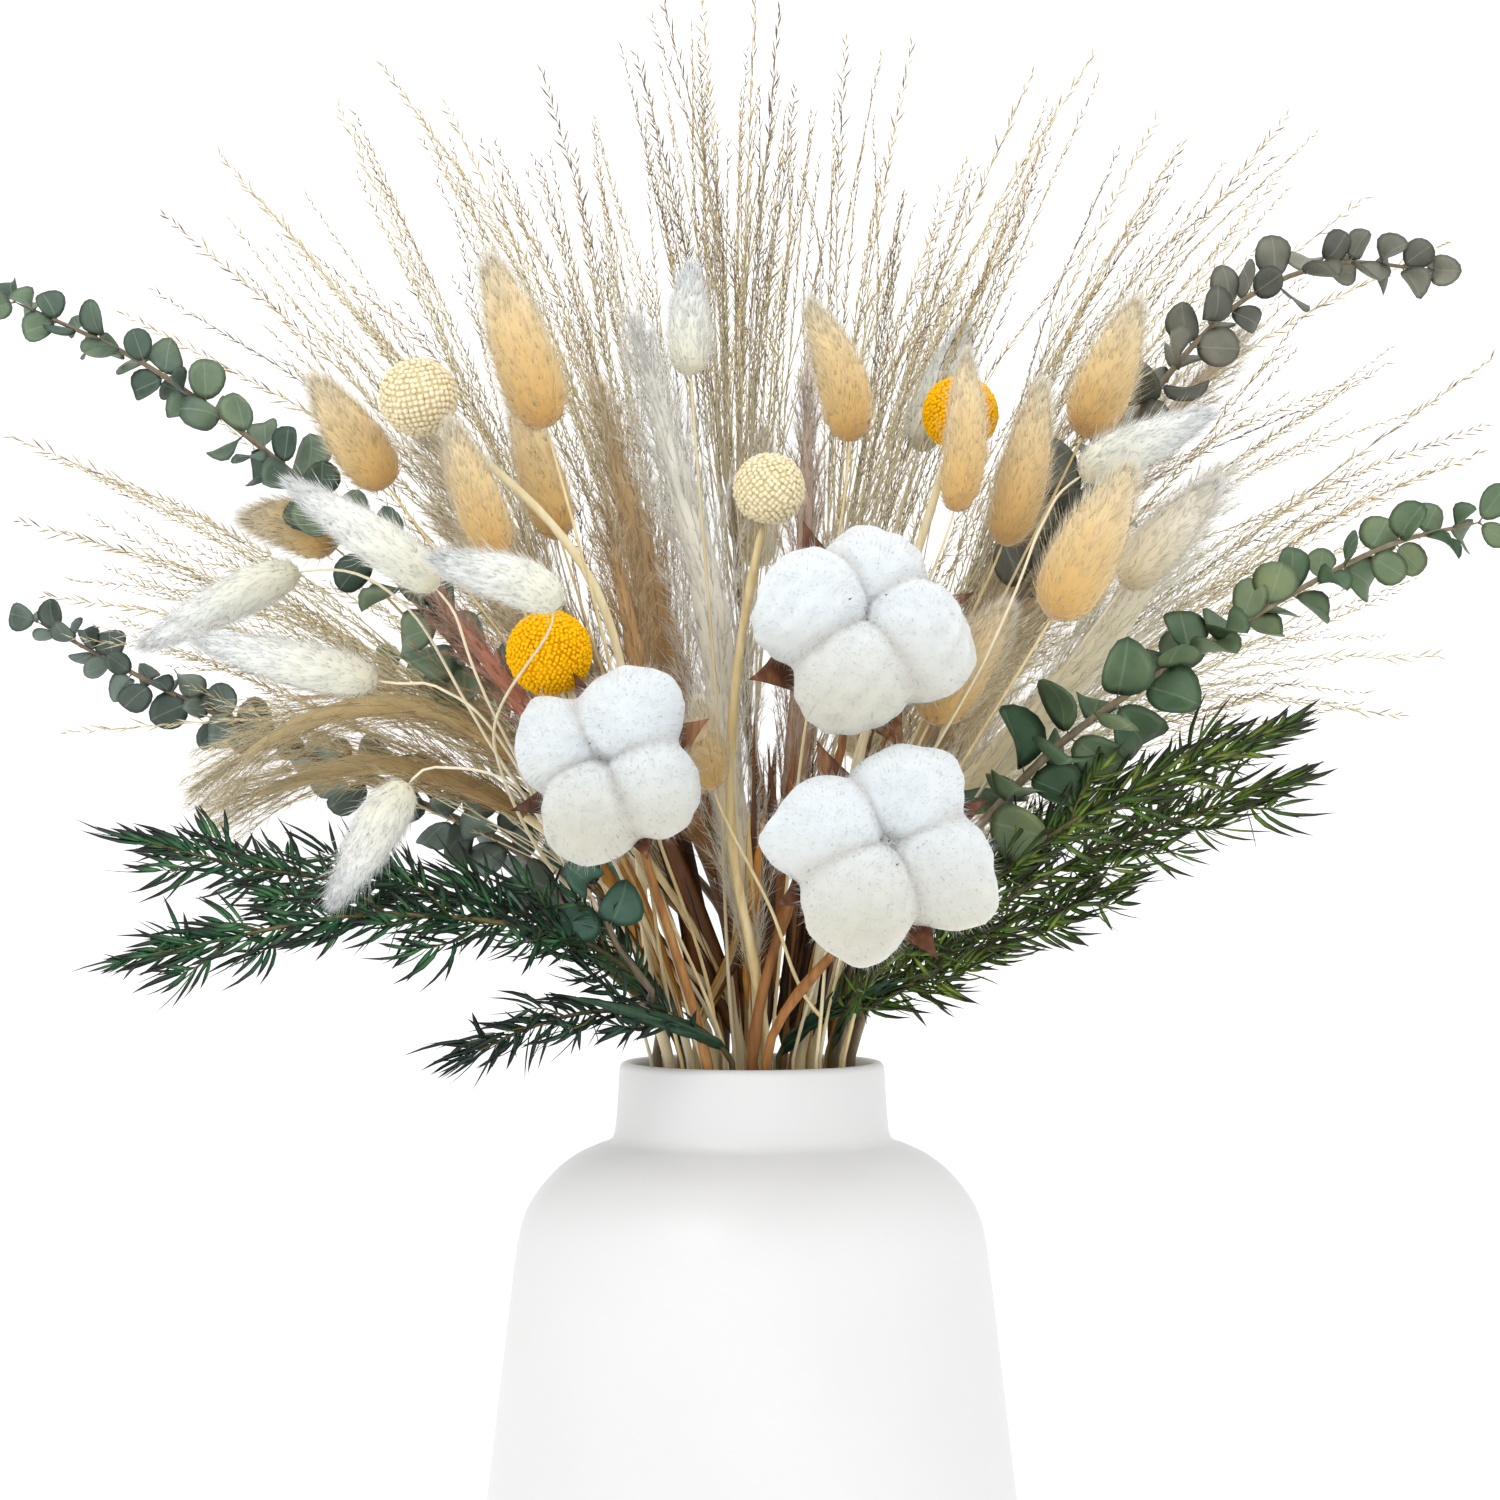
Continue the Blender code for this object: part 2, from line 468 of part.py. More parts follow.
class Growth:
    def __init__(self):
        self.points = []
        self.faces = []

    def add(self, point):
        self.points.append(np.array(point, dtype=float))
        return len(self.points) - 1

    def ring(self, centre, along, side, radius, count):
        other = np.cross(along, side)
        turns = (2.0 * math.pi * i / count for i in range(count))
        spokes = (math.cos(turn) * side + math.sin(turn) * other for turn in turns)
        return [self.add(centre + radius * spoke) for spoke in spokes]

    def join(self, lower, upper):
        """The faces between two rings, the second with as many, twice or half as many corners."""
        low, up = len(lower), len(upper)
        if low == up:
            pairs = ((i, (i + 1) % low) for i in range(low))
            return [(lower[i], lower[j], upper[j], upper[i]) for i, j in pairs]
        faces = []
        if up == 2 * low:
            for i in range(low):
                a, b = lower[i], lower[(i + 1) % low]
                c, d, e = upper[2 * i], upper[2 * i + 1], upper[(2 * i + 2) % up]
                faces += [(a, d, c), (a, b, d), (b, e, d)]
            return faces
        for i in range(up):
            a, b, c = lower[2 * i], lower[2 * i + 1], lower[(2 * i + 2) % low]
            d, e = upper[i], upper[(i + 1) % up]
            faces += [(a, b, d), (b, e, d), (b, c, e)]
        return faces

    def fan(self, loop, apex):
        top = self.add(apex)
        return [(loop[i], loop[(i + 1) % len(loop)], top) for i in range(len(loop))]

    def keep(self, faces):
        self.faces.extend(faces)

    def middle(self, face):
        return sum(self.points[i] for i in face) / len(face)

    def normal(self, face):
        a, b, c = (self.points[face[i]] for i in (0, 1, -1))
        return unit(np.cross(b - a, c - a))

    def spike(self, face, reach):
        self.keep(self.fan(face, self.middle(face) + reach))

    def tube(self, path, headings, radii, sides, start=None, elbow=0.0):
        """Rings along a path, from a flat foot or a face's corners: the bands and the last ring."""
        bands = []
        if start is None:
            side = square_to(headings[0], np.array((1.0, 0.0, 0.0)))
            loop = self.ring(path[0], headings[0], side, radii[0], sides[0])
            self.keep([tuple(reversed(loop))])
            path, headings, radii, sides = path[1:], headings[1:], radii[1:], sides[1:]
        else:
            loop = list(start)
            middle, out = self.middle(loop), self.normal(loop)
            side = self.points[loop[0]] - middle
            if elbow:
                bend = middle + out * (elbow + radii[0])
                path, headings = [bend, *path], [unit(out + unit(path[0] - bend)), *headings]
                radii, sides = [radii[0], *radii], [len(loop), *sides]
        for centre, heading, radius, count in zip(path, headings, radii, sides):
            side = square_to(heading, side)
            ring = self.ring(centre, heading, side, radius, count)
            bands.append(self.join(loop, ring))
            loop = ring
        return bands, loop

    def blade(self, start, path, widths, thick, flat):
        """A leaf that grows out of a face: flat sections along a path, closed to a point at its end."""
        loop = list(start)
        for i, width in enumerate(widths):
            heading = unit(path[i + 1] - path[i - 1]) if i else unit(path[1] - self.middle(start))
            across = square_to(heading, flat)
            rise = np.cross(heading, across)
            corners = [across * width, rise * thick, -across * width, -rise * thick]
            if len(start) == 3:
                corners = [across * width, rise * thick * 2.0, -across * width]
            if i == 0:
                ends = [unit(self.points[j] - self.middle(start)) for j in start]
                ways = [unit(corner) for corner in corners]
                fits = [sum(np.dot(ways[(j + k) % len(ways)], end) for j, end in enumerate(ends))
                        for k in range(len(ways))]
                turn = int(np.argmax(fits))
            ring = [self.add(path[i] + corners[(j + turn) % len(corners)]) for j in range(len(start))]
            self.keep(self.join(loop, ring))
            loop = ring
        self.keep(self.fan(loop, path[-1]))

    def mesh_object(self, name, colour):
        mesh = bpy.data.meshes.new(name)
        mesh.from_pydata([tuple(point * MM) for point in self.points], [], self.faces)
        return finish(name, mesh, colour)


def finish(name, mesh, colour):
    mesh.validate()
    mesh.shade_smooth()
    mesh.set_sharp_from_angle(angle=SHARP_ANGLE)
    material = bpy.data.materials.get(colour) or bpy.data.materials.new(colour)
    material.use_nodes = True
    shader = material.node_tree.nodes["Principled BSDF"]
    shader.inputs["Base Color"].default_value = (*COLOURS[colour], 1.0)
    shader.inputs["Roughness"].default_value = GLAZE_ROUGHNESS if colour == "vase" else DRY_ROUGHNESS
    shader.inputs["Metallic"].default_value = 0.0
    mesh.materials.append(material)
    piece = bpy.data.objects.new(name, mesh)
    bpy.context.scene.collection.objects.link(piece)
    return piece


# The vase

def arc(centre, radius, first, last, steps):
    """Points of a round stretch of the profile, as (radius, height), between two angles in degrees."""
    angles = np.radians(np.linspace(first, last, steps))
    return [(centre[0] + radius * math.cos(a), centre[1] + radius * math.sin(a)) for a in angles]


def outer_profile():
    """The vase's outside from its foot to its lip, as (radius, height)."""
    foot = [(FOOT_RADIUS, 0.0), (FOOT_RADIUS + 7.5, 3.2), (BODY_LOW[0] - 0.8, 8.0)]
    shoulder = [(81.9, 166.0), (74.8, 177.0), (64.5, 185.6), (55.5, 190.0)]
    neck = [NECK_FOOT, (LIP_RADIUS + 1.2, 199.0), (LIP_RADIUS, VASE_HEIGHT - VASE_WALL / 2)]
    return [*foot, BODY_LOW, BODY_MIDDLE, BODY_HIGH, *shoulder, *neck]


def make_vase():
    lip = VASE_HEIGHT - VASE_WALL / 2
    lip_middle = (LIP_RADIUS - VASE_WALL / 2 - 0.1, lip)
    inner = [(radius - VASE_WALL, height - 1.5) for radius, height in reversed(outer_profile()[5:10])]
    profile = [(0.0, 0.0)] + outer_profile() + arc(lip_middle, VASE_WALL / 2, 40, 140, 3)
    profile += [(BORE_RADIUS, lip), (BORE_RADIUS, NECK_FOOT[1] - 3.5)] + inner[1:]
    profile += [(BODY_LOW[0] - VASE_WALL, FLOOR + 8.0), (FOOT_RADIUS - 2.0, FLOOR), (0.0, FLOOR)]
    mesh = bpy.data.meshes.new("vase")
    turned = bmesh.new()
    corners = [turned.verts.new((radius * MM, 0.0, height * MM)) for radius, height in profile]
    edges = [turned.edges.new(pair) for pair in zip(corners, corners[1:])]
    bmesh.ops.spin(turned, geom=corners + edges, cent=(0.0, 0.0, 0.0), axis=(0.0, 0.0, 1.0),
                   angle=2.0 * math.pi, steps=VASE_SIDES, use_merge=True)
    bmesh.ops.remove_doubles(turned, verts=turned.verts, dist=1e-6)
    bmesh.ops.recalc_face_normals(turned, faces=turned.faces)
    turned.to_mesh(mesh)
    turned.free()
    finish("vase", mesh, "vase")


# Heads

def lofted(growth, foot, shoot, marks, radii, sides, start=None, stem_sides=STEM_SIDES):
    """A stem from its foot or its fork to the end of its head, with the given head stations."""
    curve = shoot.curve
    first = FORK_RUN if start is not None else 0.0
    stem_marks = shoot.stations(first, shoot.head_start, STEM_STEP)
    stem_marks = [mark for mark in stem_marks if mark < marks[0] - 1.0]
    if start is None and shoot.fork_marks:
        forks = np.array(shoot.fork_marks)
        stem_marks = [mark for mark in stem_marks if np.abs(forks - mark).min() > FORK_CLEAR]
        stem_marks = sorted([*stem_marks, *(forks - FORK_HALF), *(forks + FORK_HALF)])
    path = [curve.at(mark) for mark in stem_marks + list(marks)]
    headings = [curve.heading(mark) for mark in stem_marks + list(marks)]
    all_radii = [shoot.radius] * len(stem_marks) + list(radii)
    all_sides = [stem_sides] * len(stem_marks) + list(sides)
    if start is None:
        path.insert(0, foot)
        headings.insert(0, np.array((0.0, 0.0, 1.0)))
        all_radii.insert(0, shoot.radius)
        all_sides.insert(0, stem_sides)
    bands, loop = growth.tube(path, headings, all_radii, all_sides, start, ELBOW)
    split = len(bands) - len(marks)
    return bands[:split], bands[split:], loop


def fork_face(growth, bands, root, towards, sides=STEM_SIDES):
    """The face of the stem's short fork band that faces a branch, or half of it for a three-sided one."""
    faces = [(number, face) for number, band in enumerate(bands) for face in band
             if np.linalg.norm(growth.middle(face) - root) < 2.0 * FORK_HALF]
    number, face = max(faces, key=lambda pair: np.dot(growth.normal(pair[1]), towards))
    bands[number].remove(face)
    if sides == len(face):
        return face
    growth.keep([(face[0], face[2], face[3])])
    return (face[0], face[1], face[2])


def bristle(growth, band, axis, out, forward):
    """Spikes on every face of a band, leaning towards the head's tip."""
    for face in band:
        growth.spike(face, growth.normal(face) * out + axis * forward)


def grow_heads(name, kind, size, colour, foot, shoots):
    """A node of one or more grass heads, tails or plumes, on one stem."""
    growth = Growth()
    shares, widths, spikes = HEAD_SHAPES[kind]
    shoots[0].fork_marks = [shoot.parent_fork for shoot in shoots[1:]]
    stem_bands = None
    for number, shoot in enumerate(shoots):
        start = None
        if number:
            root = shoots[0].curve.at(shoot.parent_fork)
            start = fork_face(growth, stem_bands, root, shoot.curve.heading(FORK_SPAN[0]))
        span = shoot.curve.length - shoot.head_start
        marks = shoot.head_start + span * np.array(shares)
        sides = [HEAD_SIDES] * len(marks)
        bands, head, loop = lofted(growth, foot, shoot, marks, size * np.array(widths), sides, start)
        if number == 0:
            stem_bands = bands
        else:
            growth.keep([face for band in bands for face in band])
        growth.keep(head[0])
        for band, mark in zip(head[1:], marks):
            bristle(growth, band, shoot.curve.heading(mark), size * spikes[0], size * spikes[1])
        tip = shoot.curve.at(shoot.curve.length)
        growth.keep(growth.fan(loop, tip))
    growth.keep([face for band in stem_bands for face in band])
    growth.mesh_object(name, colour)


# A head's rings: their places from 0 at its base to 1 at its tip, their radii, and its spikes' reach
HEAD_SHAPES = {
    "tail": ((0.10, 0.36, 0.64, 0.86), (0.58, 0.76, 0.64, 0.36), (0.22, 0.30)),
    "plume": ((0.05, 0.20, 0.36, 0.52, 0.68, 0.84), (0.34, 0.52, 0.58, 0.52, 0.42, 0.26), (0.38, 0.75)),
}
HEAD_SIDES = 6

# A ball of florets: the angles from its tip and the corners of its rings, and its florets' reach
BALL_RINGS = ((150, 6), (112, 12), (68, 12), (30, 6))
FLORET_REACH = 0.09
TOP_FLORET_REACH = 0.07
BALL_COLLAR = 1.06            # from a fused ball's middle to its stem's last ring
BALL_SEAT = math.radians(28)  # how far round a separate ball its stem meets it


def sphere_head(growth, centre, axis, size, loop=None):
    """A ball of small florets, closed at its foot or grown on from a stem's last ring."""
    side = square_to(axis, np.array((1.0, 0.0, 0.0)))
    if loop is not None:
        side = square_to(axis, growth.points[loop[0]] - growth.middle(loop))
    last = loop
    for angle, count in BALL_RINGS:
        turn = math.radians(angle)
        middle, radius = centre + axis * size * math.cos(turn), size * math.sin(turn)
        ring = growth.ring(middle, axis, side, radius, count)
        if last is None:
            growth.keep([tuple(reversed(ring))])
        elif len(last) == 3:
            growth.keep(growth.join(last, ring))
        else:
            for face in growth.join(last, ring):
                growth.spike(face, growth.normal(face) * size * FLORET_REACH)
        last = ring
    for face in growth.fan(last, centre + axis * size):
        growth.spike(face, growth.normal(face) * size * TOP_FLORET_REACH)


def grow_craspedia(name, size, foot, shoots):
    shoot = shoots[0]
    shoot.fork_marks = []
    growth = Growth()
    centre = shoot.curve.at(shoot.curve.length)
    axis = shoot.curve.heading(shoot.curve.length)
    separate = "yellow" in name
    stand = size * math.cos(BALL_SEAT) + GAP if separate else size * BALL_COLLAR
    shoot.head_start = shoot.curve.length - stand
    marks = shoot.stations(0.0, shoot.head_start, STEM_STEP)
    path = [foot] + [shoot.curve.at(mark) for mark in marks]
    headings = [np.array((0.0, 0.0, 1.0))] + [shoot.curve.heading(mark) for mark in marks]
    headings[-1] = axis
    bands, loop = growth.tube(path, headings, [shoot.radius] * len(path), [STEM_SIDES] * len(path))
    growth.keep([face for band in bands for face in band])
    if not separate:
        sphere_head(growth, centre, axis, size, loop)
        growth.mesh_object(name, "craspedia_cream")
        return
    growth.keep([tuple(loop)])
    growth.mesh_object(name + "_stem", "stem")
    head = Growth()
    sphere_head(head, centre, axis, size)
    head.mesh_object(name, "craspedia_yellow")


# Cotton: four locks of lint round an axis, and the brown bur behind them

LOCKS = 4
LOCK_COLUMNS = 4
LINT_RINGS = (28, 58, 90, 124, 154)       # degrees from the middle of the boll's open face
CLAW_RING = 2                             # the ring that the bur's claws reach
BUR_RING = 3                              # the ring where the claws part
BUR_GAP = GAP + 0.15
BUR_WALL = 1.3
BUR_STEM_SIDES = 4
LOCK_OFFSET = 0.46            # from the boll's axis to a lock's middle, and a lock's radius
LOCK_RADIUS = 0.58
LOCK_TILT = np.array((0.35, 0.0, 1.0))    # the way that the first lock lies from the boll's middle


def cotton_axis(centre):
    """The way a boll faces: to the front, up, and a little away from the vase's axis."""
    return unit(np.array((centre[0] * 0.006, -1.0, 0.25)))


def lint_reach(direction):
    """How far four overlapping balls reach from the boll's middle, for a boll of radius 1."""
    angles = 2.0 * math.pi * np.arange(LOCKS) / LOCKS
    along = np.clip(direction[0] * np.cos(angles) + direction[1] * np.sin(angles), -1.0, 1.0)
    return (LOCK_OFFSET * along + np.sqrt(LOCK_RADIUS ** 2 - LOCK_OFFSET ** 2 * (1.0 - along ** 2))).max()


def boll_point(centre, frame, size, degrees, column, extra):
    """A point on the boll, at an angle from its face and a column round it, raised by extra."""
    polar = math.radians(degrees)
    turn = 2.0 * math.pi * column / (LOCKS * LOCK_COLUMNS)
    local = (math.sin(polar) * math.cos(turn), math.sin(polar) * math.sin(turn), math.cos(polar))
    direction = local[0] * frame[0] + local[1] * frame[1] + local[2] * frame[2]
    return centre + direction * (lint_reach(local) * size + extra)


def slanted(front, back, column):
    """The two triangles of a quad, split towards the groove between two locks."""
    count = len(front)
    after = (column + 1) % count
    if column % LOCK_COLUMNS < LOCK_COLUMNS // 2:
        return [(front[column], back[column], front[after]), (back[column], back[after], front[after])]
    return [(front[column], back[column], back[after]), (front[column], back[after], front[after])]


def grow_cotton(name, size, foot, shoots):
    shoot = shoots[0]
    axis = shoot.curve.heading(shoot.curve.length)
    centre = shoot.curve.at(shoot.curve.length) + axis * size * BOLL_STAND
    side = square_to(axis, LOCK_TILT)
    frame = (side, np.cross(axis, side), axis)
    columns = range(LOCKS * LOCK_COLUMNS)

    def ring(growth, degrees, extra):
        return [growth.add(boll_point(centre, frame, size, degrees, column, extra)) for column in columns]

    lint = Growth()
    rings = [ring(lint, degrees, 0.0) for degrees in LINT_RINGS]
    lint.keep(lint.fan(rings[0], boll_point(centre, frame, size, 0, 0, 0.0)))
    for front, back in zip(rings, rings[1:]):
        for column in columns:
            lint.keep(slanted(front, back, column))
    lint.keep(lint.fan(rings[-1][::-1], boll_point(centre, frame, size, 180, 0, 0.0)))
    lint.mesh_object(name + "_lint", "cotton_lint")

    bur = Growth()
    skins = (BUR_GAP, BUR_GAP + BUR_WALL)
    claw, rim, back = ([ring(bur, LINT_RINGS[number], extra) for extra in skins]
                       for number in (CLAW_RING, BUR_RING, BUR_RING + 1))
    edges = []
    for skin in (0, 1):
        faces = [face for column in columns for face in slanted(rim[skin], back[skin], column)]
        for groove in range(LOCK_COLUMNS // 2, len(columns), LOCK_COLUMNS):
            tip = claw[skin][groove]
            left, middle, right = rim[skin][groove - 1:groove + 2]
            faces += [(left, middle, tip), (tip, middle, right)]
        if skin == 0:
            faces += bur.fan(back[0][::-1], boll_point(centre, frame, size, 180, 0, BUR_GAP))
            faces = [face[::-1] for face in faces]
        bur.keep(faces)
        edges.append([(claw if column % LOCK_COLUMNS == LOCK_COLUMNS // 2 else rim)[skin][column]
                      for column in columns])
    inner, outer = edges
    bur.keep([(outer[i - 1], outer[i], inner[i], inner[i - 1]) for i in columns])
    loop = [back[1][0]] + back[1][:0:-1]
    cup = (0.60 * size + 3.5, 0.16 * size, len(columns) // 2)
    collar = (0.62 * size + 8.0, shoot.radius * 1.3, BUR_STEM_SIDES)
    for behind, radius, count in (cup, collar):
        ring_back = bur.ring(centre - axis * behind, -axis, side, radius, count)
        bur.keep(bur.join(loop, ring_back))
        loop = ring_back
    marks = shoot.stations(0.0, shoot.curve.length, STEM_STEP)[::-1]
    path = [shoot.curve.at(mark) for mark in marks] + [foot]
    headings = [-shoot.curve.heading(mark) for mark in marks] + [np.array((0.0, 0.0, -1.0))]
    radii, sides = [shoot.radius] * len(path), [BUR_STEM_SIDES] * len(path)
    bands, loop = bur.tube(path, headings, radii, sides, loop)
    bur.keep([face for band in bands for face in band] + [tuple(loop)])
    bur.mesh_object(name + "_bur", "cotton_bur")


# Leafy stems: eucalyptus and fern

# A leaf: its length and half width, its sections' places and widths, and the room that it takes
LEAF_HALF = 0.45              # half of a leaf's thickness along its midrib
LEAF_LENGTH = 2.1
LEAF_HALF_WIDTH = 0.98
LEAF_SECTIONS = (0.16, 0.48, 0.82, 1.0)
LEAF_WIDTHS = np.array((0.2, 1.0, 0.72))
LEAF_BED = (0.36, 0.80)
LEAF_LANES = (-0.6, 0.0, 0.6)
LEAF_ROOM = 0.42
LEAF_TURN = (0.5, 1.2)

# How leaves and needles stand out and lean forward, and how much smaller they grow where room is short
LEAF_SCALES = (1.0, 0.78, 0.6)
LEAF_WAYS = ((0.8, 0.6), (0.45, 0.9), (0.97, 0.2))
NEEDLE_SCALES = (1.0, 0.75, 0.5)
NEEDLE_WAYS = ((0.75, 0.65), (0.5, 0.87))
NEEDLE_MARKS = (0.0, 0.2, 0.5, 1.0)       # along a needle; its first stretch lies near its own stem
NEEDLE_ROOM = (1.6, 1.3, 0.85, 0.3)
NODE_BANDS = {"eucalyptus": (1.5, 4), "fern": (1.3, 3)}   # half of a leafy band's length, and its sides


def grow_leaf(bouquet, owner, growth, face, heading, size):
    """A round thick leaf on a short stalk, turned or made smaller where it would meet something."""
    root, normal = growth.middle(face), growth.normal(face)
    for scale in LEAF_SCALES:
        length, width = LEAF_LENGTH * size * scale, LEAF_HALF_WIDTH * size * scale
        for out, forward in LEAF_WAYS:
            way = unit(normal * out + heading * forward)
            flat = unit(np.cross(heading, normal))
            turn = bouquet.random.uniform(*LEAF_TURN) * bouquet.random.choice((-1.0, 1.0))
            flat = flat * math.cos(turn) + np.cross(way, flat) * math.sin(turn)
            low, high = (root + way * length * share for share in LEAF_BED)
            lanes = [flat * width * lane for lane in LEAF_LANES]
            rods = Rods([low + lane for lane in lanes], [high + lane for lane in lanes],
                        [LEAF_ROOM * width] * len(lanes))
            if rods.clear_of_vase() and bouquet.claim(rods, Rods(), owner):
                path = [root + way * length * share for share in LEAF_SECTIONS]
                growth.blade(face, path, LEAF_WIDTHS * width, LEAF_HALF, flat)
                return
    growth.keep([face])


def grow_needle(bouquet, owner, growth, face, heading, size):
    """A three-sided or four-sided needle, left out where even a short one would meet something."""
    root, normal = growth.middle(face), growth.normal(face)
    for scale in NEEDLE_SCALES:
        for out, forward in NEEDLE_WAYS:
            reach = (normal * out + heading * forward) * size * scale
            path = root + np.outer(NEEDLE_MARKS, reach)
            rods, root_rods = Rods.along(path[1:], NEEDLE_ROOM[1:]), Rods.along(path[:2], NEEDLE_ROOM[:2])
            if rods.clear_of_vase() and bouquet.claim(rods, root_rods, owner):
                growth.spike(face, reach)
                return
    growth.keep([face])


def grow_leafy(bouquet, owner, name, kind, size, foot, shoots):
    """Stems whose short bands carry opposite leaves, each pair square to the last, or needles."""
    growth = Growth()
    half, sides = NODE_BANDS[kind]
    shoots[0].fork_marks = [shoot.parent_fork for shoot in shoots[1:]]
    stem_bands = None
    for number, shoot in enumerate(shoots):
        start = None
        if number:
            root = shoots[0].curve.at(shoot.parent_fork)
            start = fork_face(growth, stem_bands, root, shoot.curve.heading(FORK_SPAN[0]), sides)
        nodes = leaf_nodes(kind, size, shoot)
        marks = [node + step for node in nodes for step in (-half, half)]
        radii = shoot.radius * np.interp(marks, [shoot.head_start, shoot.curve.length], [1.0, 0.5])
        bands, leafy, loop = lofted(growth, foot, shoot, marks, radii, [sides] * len(marks), start, sides)
        if number == 0:
            stem_bands = bands
        else:
            growth.keep([face for band in bands for face in band])
        for step, band in enumerate(leafy):
            if step % 2 == 0:
                growth.keep(band)
                continue
            place = step // 2
            heading, share = shoot.curve.heading(nodes[place]), place / max(1, len(nodes) - 1)
            grow_node(bouquet, owner, growth, kind, size, band, heading, place, share)
        growth.keep(growth.fan(loop, shoot.curve.at(shoot.curve.length)))
    growth.keep([face for band in stem_bands for face in band])
    growth.mesh_object(name, kind)


def grow_node(bouquet, owner, growth, kind, size, band, heading, number, share):
    """The leaves or needles of one short band, smaller towards the tip."""
    for corner, face in enumerate(band):
        if kind == "eucalyptus" and corner % 2 == number % 2:
            grow_leaf(bouquet, owner, growth, face, heading, size * (1.0 - 0.35 * share))
        elif kind == "fern" and corner != number % 3:
            length = size * (0.75 + 0.5 * math.sin(math.pi * share) - 0.2 * share)
            grow_needle(bouquet, owner, growth, face, heading, length)
        else:
            growth.keep([face])


# Wispy grass: a culm that parts into strands with small spikelets, and a long blade lower down

STRAND_NODES = (0.50, 0.68, 0.85)         # where along a strand its spikelets grow
STRAND_FIRST = 0.26                       # its first ring past the culm
STRAND_SPACING = 7.0                      # between the culm's forks
STRAND_HALF = 1.6                         # half of the short band that a strand grows from
STRAND_RADIUS = 0.9
STRAND_ROOM = 2.5
STRAND_ATTEMPTS = 70
STRAND_BEND = (5.0, 22.0)                 # how far a strand bends, and how much more at the last try
STRAND_ARCH = 0.07
SPIKELET_STEPS = np.tile((-1.3, 1.3), len(STRAND_NODES))     # the two rings of each spikelet's band
SPIKELET_REACH = (2.4, 7.5)               # how far a spikelet stands out, and how far forward
BLADE_LEVEL = 30.0                        # along the culm from the mouth to its leaf
BLADE_LENGTH = 120.0
BLADE_HALF_WIDTH = 2.6
BLADE_HALF = 0.4
BLADE_FOOT_ROOM = 1.5
BLADE_ATTEMPTS = 40
BLADE_SECTIONS = (0.05, 0.25, 0.5, 0.75, 1.0)
BLADE_WIDTHS = np.array((0.6, 1.0, 1.0, 0.7))


def strand_curve(root, heading, side, tip, bend):
    """A strand's line: out of the culm's side, up, and over towards its tip."""
    span = np.linalg.norm(tip - root)
    middle = root + (tip - root) * 0.55 + (0.0, 0.0, STRAND_ARCH * span) + bend
    return Curve([root, middle, tip], unit(side * 0.9 + heading))


def grow_strand(bouquet, owner, growth, face, root, heading, tip):
    """Returns whether the strand found room; its face stays open if it didn't."""
    side = growth.normal(face)
    for attempt in range(STRAND_ATTEMPTS):
        spread = attempt / STRAND_ATTEMPTS
        bend = bouquet.random.normal(0.0, STRAND_BEND[0] + STRAND_BEND[1] * spread, 3)
        end = root + (tip - root) * (1.0 - 0.4 * spread) + bend * 0.3
        curve = strand_curve(root, heading, side, end, bend)
        nodes = curve.length * np.repeat(STRAND_NODES, 2)
        marks = [FORK_RUN, curve.length * STRAND_FIRST, *(nodes + SPIKELET_STEPS)]
        path = [curve.at(mark) for mark in marks]
        tip_point = curve.at(curve.length)
        room = Rods.along(np.array(path[:3]), STRAND_RADIUS)
        room = room.plus(Rods.along(np.array(path[2:] + [tip_point]), STRAND_ROOM))
        if not bouquet.claim(room, Rods.along(curve.at(FORK_SPAN), STRAND_RADIUS + FORK_ROOM), owner):
            continue
        headings = [curve.heading(mark) for mark in marks]
        radii = STRAND_RADIUS * np.interp(marks, [0.0, curve.length], [1.0, 0.6])
        bands, loop = growth.tube(path, headings, radii, [STEM_SIDES] * len(path), face, ELBOW)
        out, forward = SPIKELET_REACH
        for number, band in enumerate(bands[1:]):
            short = number >= 3 and number % 2
            for corner, quad in enumerate(band):
                if short and corner != (number // 2) % 3:
                    growth.spike(quad, growth.normal(quad) * out + headings[number] * forward)
                else:
                    growth.keep([quad])
        growth.keep(bands[0] + growth.fan(loop, tip_point))
        return True
    return False


def grow_culm_blade(bouquet, owner, growth, bands, curve):
    """The long dry leaf that a culm carries a little above the mouth, where there is room for one."""
    root = curve.at(BLADE_LEVEL)
    out, up = unit(root * (1.0, 1.0, 0.0)), np.array((0.0, 0.0, 1.0))
    for attempt in range(BLADE_ATTEMPTS):
        lean = out + bouquet.random.normal(0.0, 0.1 + 0.012 * attempt, 3) * (1.0, 1.0, 0.3)
        size = BLADE_LENGTH * (1.0 - 0.01 * attempt)
        middle = root + (lean * 0.22 + up * 0.48) * size
        tip = root + (lean * 0.6 + up * 0.8) * size
        leaf = Curve([root, middle, tip], unit(out * 0.8 + up * 0.7))
        path = [leaf.at(leaf.length * share) for share in BLADE_SECTIONS]
        room = Rods.along(np.array(path), BLADE_HALF_WIDTH)
        foot_room = Rods.along(leaf.at(FORK_SPAN), BLADE_FOOT_ROOM)
        if room.clear_of_vase() and bouquet.claim(room, foot_room, owner):
            start = fork_face(growth, bands, root, leaf.heading(1.0))
            growth.blade(start, path, BLADE_HALF_WIDTH * BLADE_WIDTHS, BLADE_HALF, np.cross(out, up))
            return


